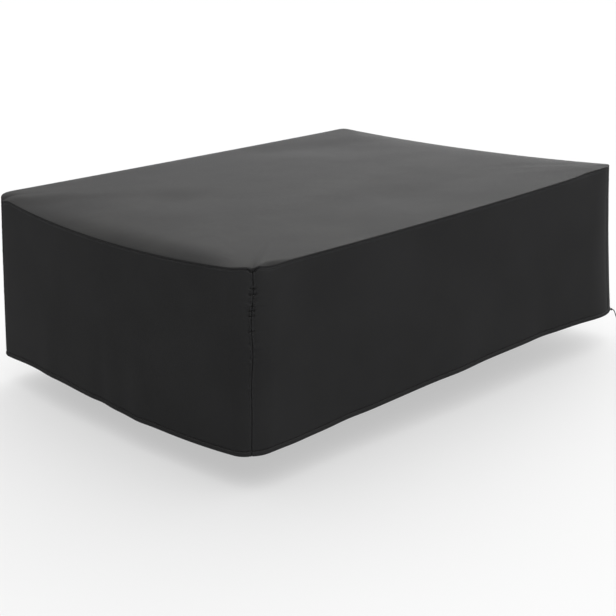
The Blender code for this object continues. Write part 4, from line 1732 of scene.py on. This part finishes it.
@dataclass
class Drawcord:
    """The cord's tail out of the hem's channel, between its stop knot and its end knot."""

    form: CoverForm
    finish: bpy.types.Material
    diameter: float = 0.004
    knot_radius: float = 0.0055       # of the knot against the hem
    end_radius: float = 0.0050
    knot_steps: int = 36              # points along a knot's path
    path_radius: float = 3.0          # of that path, in its own units ...
    path_depth: float = 1.6           # ... and how far it swings along the cord
    into_knot: float = 0.6            # how far the tail goes on to the end knot's middle
    corner: int = 1                   # where the cord comes out
    corner_steps: int = 10            # the corner's rounding in equal steps ...
    exit_step: int = 2                # ... of which the cord comes out after this many
    braid: Recipe = field(default_factory=braid_recipe)
    # The tail's middle line from the middle of the stop knot: outwards, sideways and up.
    route: tuple[Triple, ...] = (
        (0.0000, 0.0000, 0.0000), (0.0035, 0.0001, -0.0005), (0.0070, 0.0002, -0.0021),
        (0.0102, 0.0004, -0.0050), (0.0129, 0.0007, -0.0090), (0.0151, 0.0011, -0.0138),
        (0.0170, 0.0016, -0.0192), (0.0187, 0.0021, -0.0249), (0.0205, 0.0025, -0.0307),
        (0.0225, 0.0027, -0.0366), (0.0247, 0.0027, -0.0425), (0.0271, 0.0025, -0.0484),
        (0.0296, 0.0021, -0.0543), (0.0321, 0.0016, -0.0603), (0.0345, 0.0010, -0.0664),
        (0.0367, 0.0004, -0.0727), (0.0386, -0.0001, -0.0792), (0.0401, -0.0005, -0.0859),
        (0.0412, -0.0008, -0.0928), (0.0419, -0.0009, -0.0998),
    )

    def middle(self, node: str) -> Vector:
        """Middle of a solid."""
        low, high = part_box(node)
        return (low + high) / 2

    def outward(self) -> Vector:
        """Find the way in which the cord leaves the hem.

        Returns:
            The level direction.
        """
        before = self.form.corners[self.corner].seam_share
        steps_after = self.corner_steps - round(self.corner_steps * before)
        share = blend(before, 1, self.exit_step / steps_after)
        direction = self.form.arc(self.corner, 1.0, np.array([share]))[1][0]
        return Vector((*direction, 0.0)).normalized()

    def line(self, start: Vector) -> list[Vector]:
        """Put the tail's route in its place.

        Args:
            start: its first point.

        Returns:
            Its points.
        """
        out = self.outward()
        sideways = Vector((-out.y, out.x, 0.0))
        return [start + out * step[0] + sideways * step[1] + Vector((0, 0, step[2]))
                for step in self.route]

    @staticmethod
    def path(name: str, points: list[Vector], closed: bool) -> Piece:
        """Draw a smooth curve.

        Args:
            name: the curve's name.
            points: the points that it goes through.
            closed: whether it goes on from the last to the first.

        Returns:
            The curve.
        """
        curve = bpy.data.curves.new(name, 'CURVE')
        curve.dimensions = '3D'
        curve.resolution_u = 8
        spline = curve.splines.new('BEZIER')
        spline.bezier_points.add(len(points) - 1)
        for knot, point in zip(spline.bezier_points, points):
            knot.co = point
            knot.handle_left_type = knot.handle_right_type = 'AUTO'
        spline.use_cyclic_u = closed
        return add_object(name, curve)

    def braided(self, name: str, points: list[Vector], closed: bool = False) -> Piece:
        """Braid a stretch of cord.

        Args:
            name: the piece's name.
            points: the points that its middle line goes through.
            closed: whether it goes on from the last to the first.

        Returns:
            The cord, as a plain mesh.
        """
        line = self.path(name + "_path", points, closed)
        mesh = recipe_mesh(line, self.braid, {"Finish": self.finish,
                                              "Radius": self.diameter / 2})
        mesh.name = name
        bpy.data.objects.remove(line)
        return add_object(name, mesh)

    def knot(self, name: str, node: str, axis: Vector, radius: float) -> Piece:
        """Tie a tight overhand knot.

        Args:
            name: the piece's name.
            node: the solid that it stands for.
            axis: the way the cord runs through it.
            radius: its outer radius.

        Returns:
            The knot.
        """
        middle, turn = self.middle(node), axis.to_track_quat('Z', 'Y')
        scale = (radius - self.diameter / 2) / self.path_radius
        points = []
        for step in range(self.knot_steps):
            angle = 2 * math.pi * step / self.knot_steps
            shape = Vector((math.sin(angle) + 2 * math.sin(2 * angle),
                            math.cos(angle) - 2 * math.cos(2 * angle),
                            -self.path_depth * math.sin(3 * angle)))
            points.append(middle + turn @ (shape * scale))
        piece = self.braided(name, points, closed=True)
        hand_over(piece, "cord", node)
        return piece

    def make(self) -> Piece:
        """Braid the tail and tie its knots, and hand them over.

        Returns:
            The tail.
        """
        stop, end = self.middle("drawcord_stop_knot"), self.middle("drawcord_end_knot")
        line = self.line(stop)
        route = line[1:] + [line[-1].lerp(end, self.into_knot)]
        tail = self.braided("drawcord_tail_cord", route)
        knots = [
            self.knot("stop_knot_cord", "drawcord_stop_knot", self.outward(),
                      self.knot_radius),
            self.knot("end_knot_cord", "drawcord_end_knot", end - line[-1], self.end_radius)]
        hand_over(tail, "cord", "drawcord_tail")
        length = sum((after - before).length for before, after in zip(route, route[1:]))
        return tail


# ---------------------------------------------------------------- studio

@dataclass
class Studio:
    """A plain pale floor, soft light from all round, and the camera."""

    floor_level: float = -0.800
    floor_size: float = 160.0
    floor_colour: Triple = (0.30, 0.30, 0.30)
    floor_glow: float = 0.50          # a little light of its own, so that its shadow is pale
    azimuth: float = -41.779          # of the camera's view, in degrees
    elevation: float = 17.437
    roll: float = -2.453
    place: Triple = (-3.2971, -3.6531, 0.9879)
    picture_size: int = 616
    focal_pixels: float = 1206.0
    sensor: float = 36.0
    overhead: float = 2.20            # how bright the light is straight above
    back: Pair = (2.40, 7.40)         # low behind the cover, left and right
    around: float = 0.06              # low on the other sides
    # Where the dome's light turns from one of these to the next, as shares of its radius:
    left_right: Pair = (-0.32, 0.22)
    front_back: Pair = (0.35, 0.85)
    low_high: Pair = (0.35, 1.0)
    lean: float = 0.2                 # how much further down the light above comes on the right
    far: float = 400.0                # the camera's sight

    def axes(self) -> tuple[Vector, Vector, Vector]:
        """Work out the camera's directions.

        Returns:
            Its right, up and forward.
        """
        azimuth, elevation, roll = map(math.radians, (self.azimuth, self.elevation, self.roll))
        forward = Vector((-math.sin(azimuth) * math.cos(elevation),
                          math.cos(azimuth) * math.cos(elevation), -math.sin(elevation)))
        level = forward.cross(Vector((0, 0, 1))).normalized()
        upright = level.cross(forward)
        right = level * math.cos(roll) + upright * math.sin(roll)
        return right, upright * math.cos(roll) - level * math.sin(roll), forward

    def set_camera(self) -> None:
        """Put the camera at the picture's viewing angle."""
        lens = bpy.data.cameras.new("camera")
        lens.sensor_width = self.sensor
        lens.lens = self.sensor * self.focal_pixels / self.picture_size
        lens.clip_end = self.far
        camera = add_object("camera", lens)
        right, up, forward = self.axes()
        turned = Matrix((right, up, -forward)).transposed().to_4x4()
        camera.matrix_world = Matrix.Translation(self.place) @ turned
        bpy.context.scene.camera = camera

    def lay_floor(self) -> None:
        """Lay the floor."""
        bpy.ops.mesh.primitive_plane_add(size=self.floor_size,
                                         location=(0, 0, self.floor_level))
        floor = bpy.context.object
        floor.name = "floor"
        material, _, shader = new_material("pale_floor")
        for name, value in (("Base Color", (*self.floor_colour, 1.0)), ("Roughness", 1.0),
                            ("Specular IOR Level", 0.0), ("Emission Color", (1, 1, 1, 1)),
                            ("Emission Strength", self.floor_glow)):
            shader.inputs[name].default_value = value
        floor.data.materials.append(material)

    def light(self) -> None:
        """Light the scene from a dome that is bright above and behind, and dim in front."""
        world = bpy.data.worlds.new("studio_dome")
        world.use_nodes = True
        bpy.context.scene.world = world
        wiring = Wiring(world.node_tree)
        way = wiring.out("ShaderNodeTexCoord", output="Generated")
        right, _, forward = self.axes()
        ahead, aside = [
            wiring.vector('DOT_PRODUCT', way, Vector((axis.x, axis.y, 0)).normalized()[:])
            for axis in (forward, right)]
        above = wiring.out("ShaderNodeSeparateXYZ", {"Vector": way}, "Z")
        back = wiring.ramp(aside, *self.left_right, *self.back)
        low = wiring.ramp(ahead, *self.front_back, self.around, back)
        leaning = wiring.math('MULTIPLY_ADD', aside, self.lean, above)
        dome = wiring.ramp(leaning, *self.low_high, low, self.overhead)
        seen = wiring.out("ShaderNodeLightPath", output="Is Camera Ray")
        background = world.node_tree.nodes["Background"]
        wiring.feed(background.inputs["Strength"], wiring.math('MAXIMUM', dome, seen))
        wiring.feed(background.inputs["Color"], (1.0, 1.0, 1.0, 1.0))

    def set_up(self) -> None:
        """Set up the floor, the light and the camera."""
        self.lay_floor()
        self.light()
        self.set_camera()
        bpy.context.scene.view_settings.view_transform = 'Standard'
        bpy.context.scene.view_settings.look = 'None'


def main() -> None:
    """Make the cover and its studio."""
    logging.basicConfig(level=logging.INFO, format="%(name)s: %(message)s")
    form, seams, shop = CoverForm(), SeamForm(), Workshop()
    Studio().set_up()
    room = SewingRoom(shop)
    Drawcord(form, ThreadFinish("braided_cord", fibre_scale=3200.0).material(shop)).make()
    TopPanel(form, seams, room).make()
    for side in Side:
        Skirt(side, form, seams, room).make()


if __name__ == "__main__":
    main()
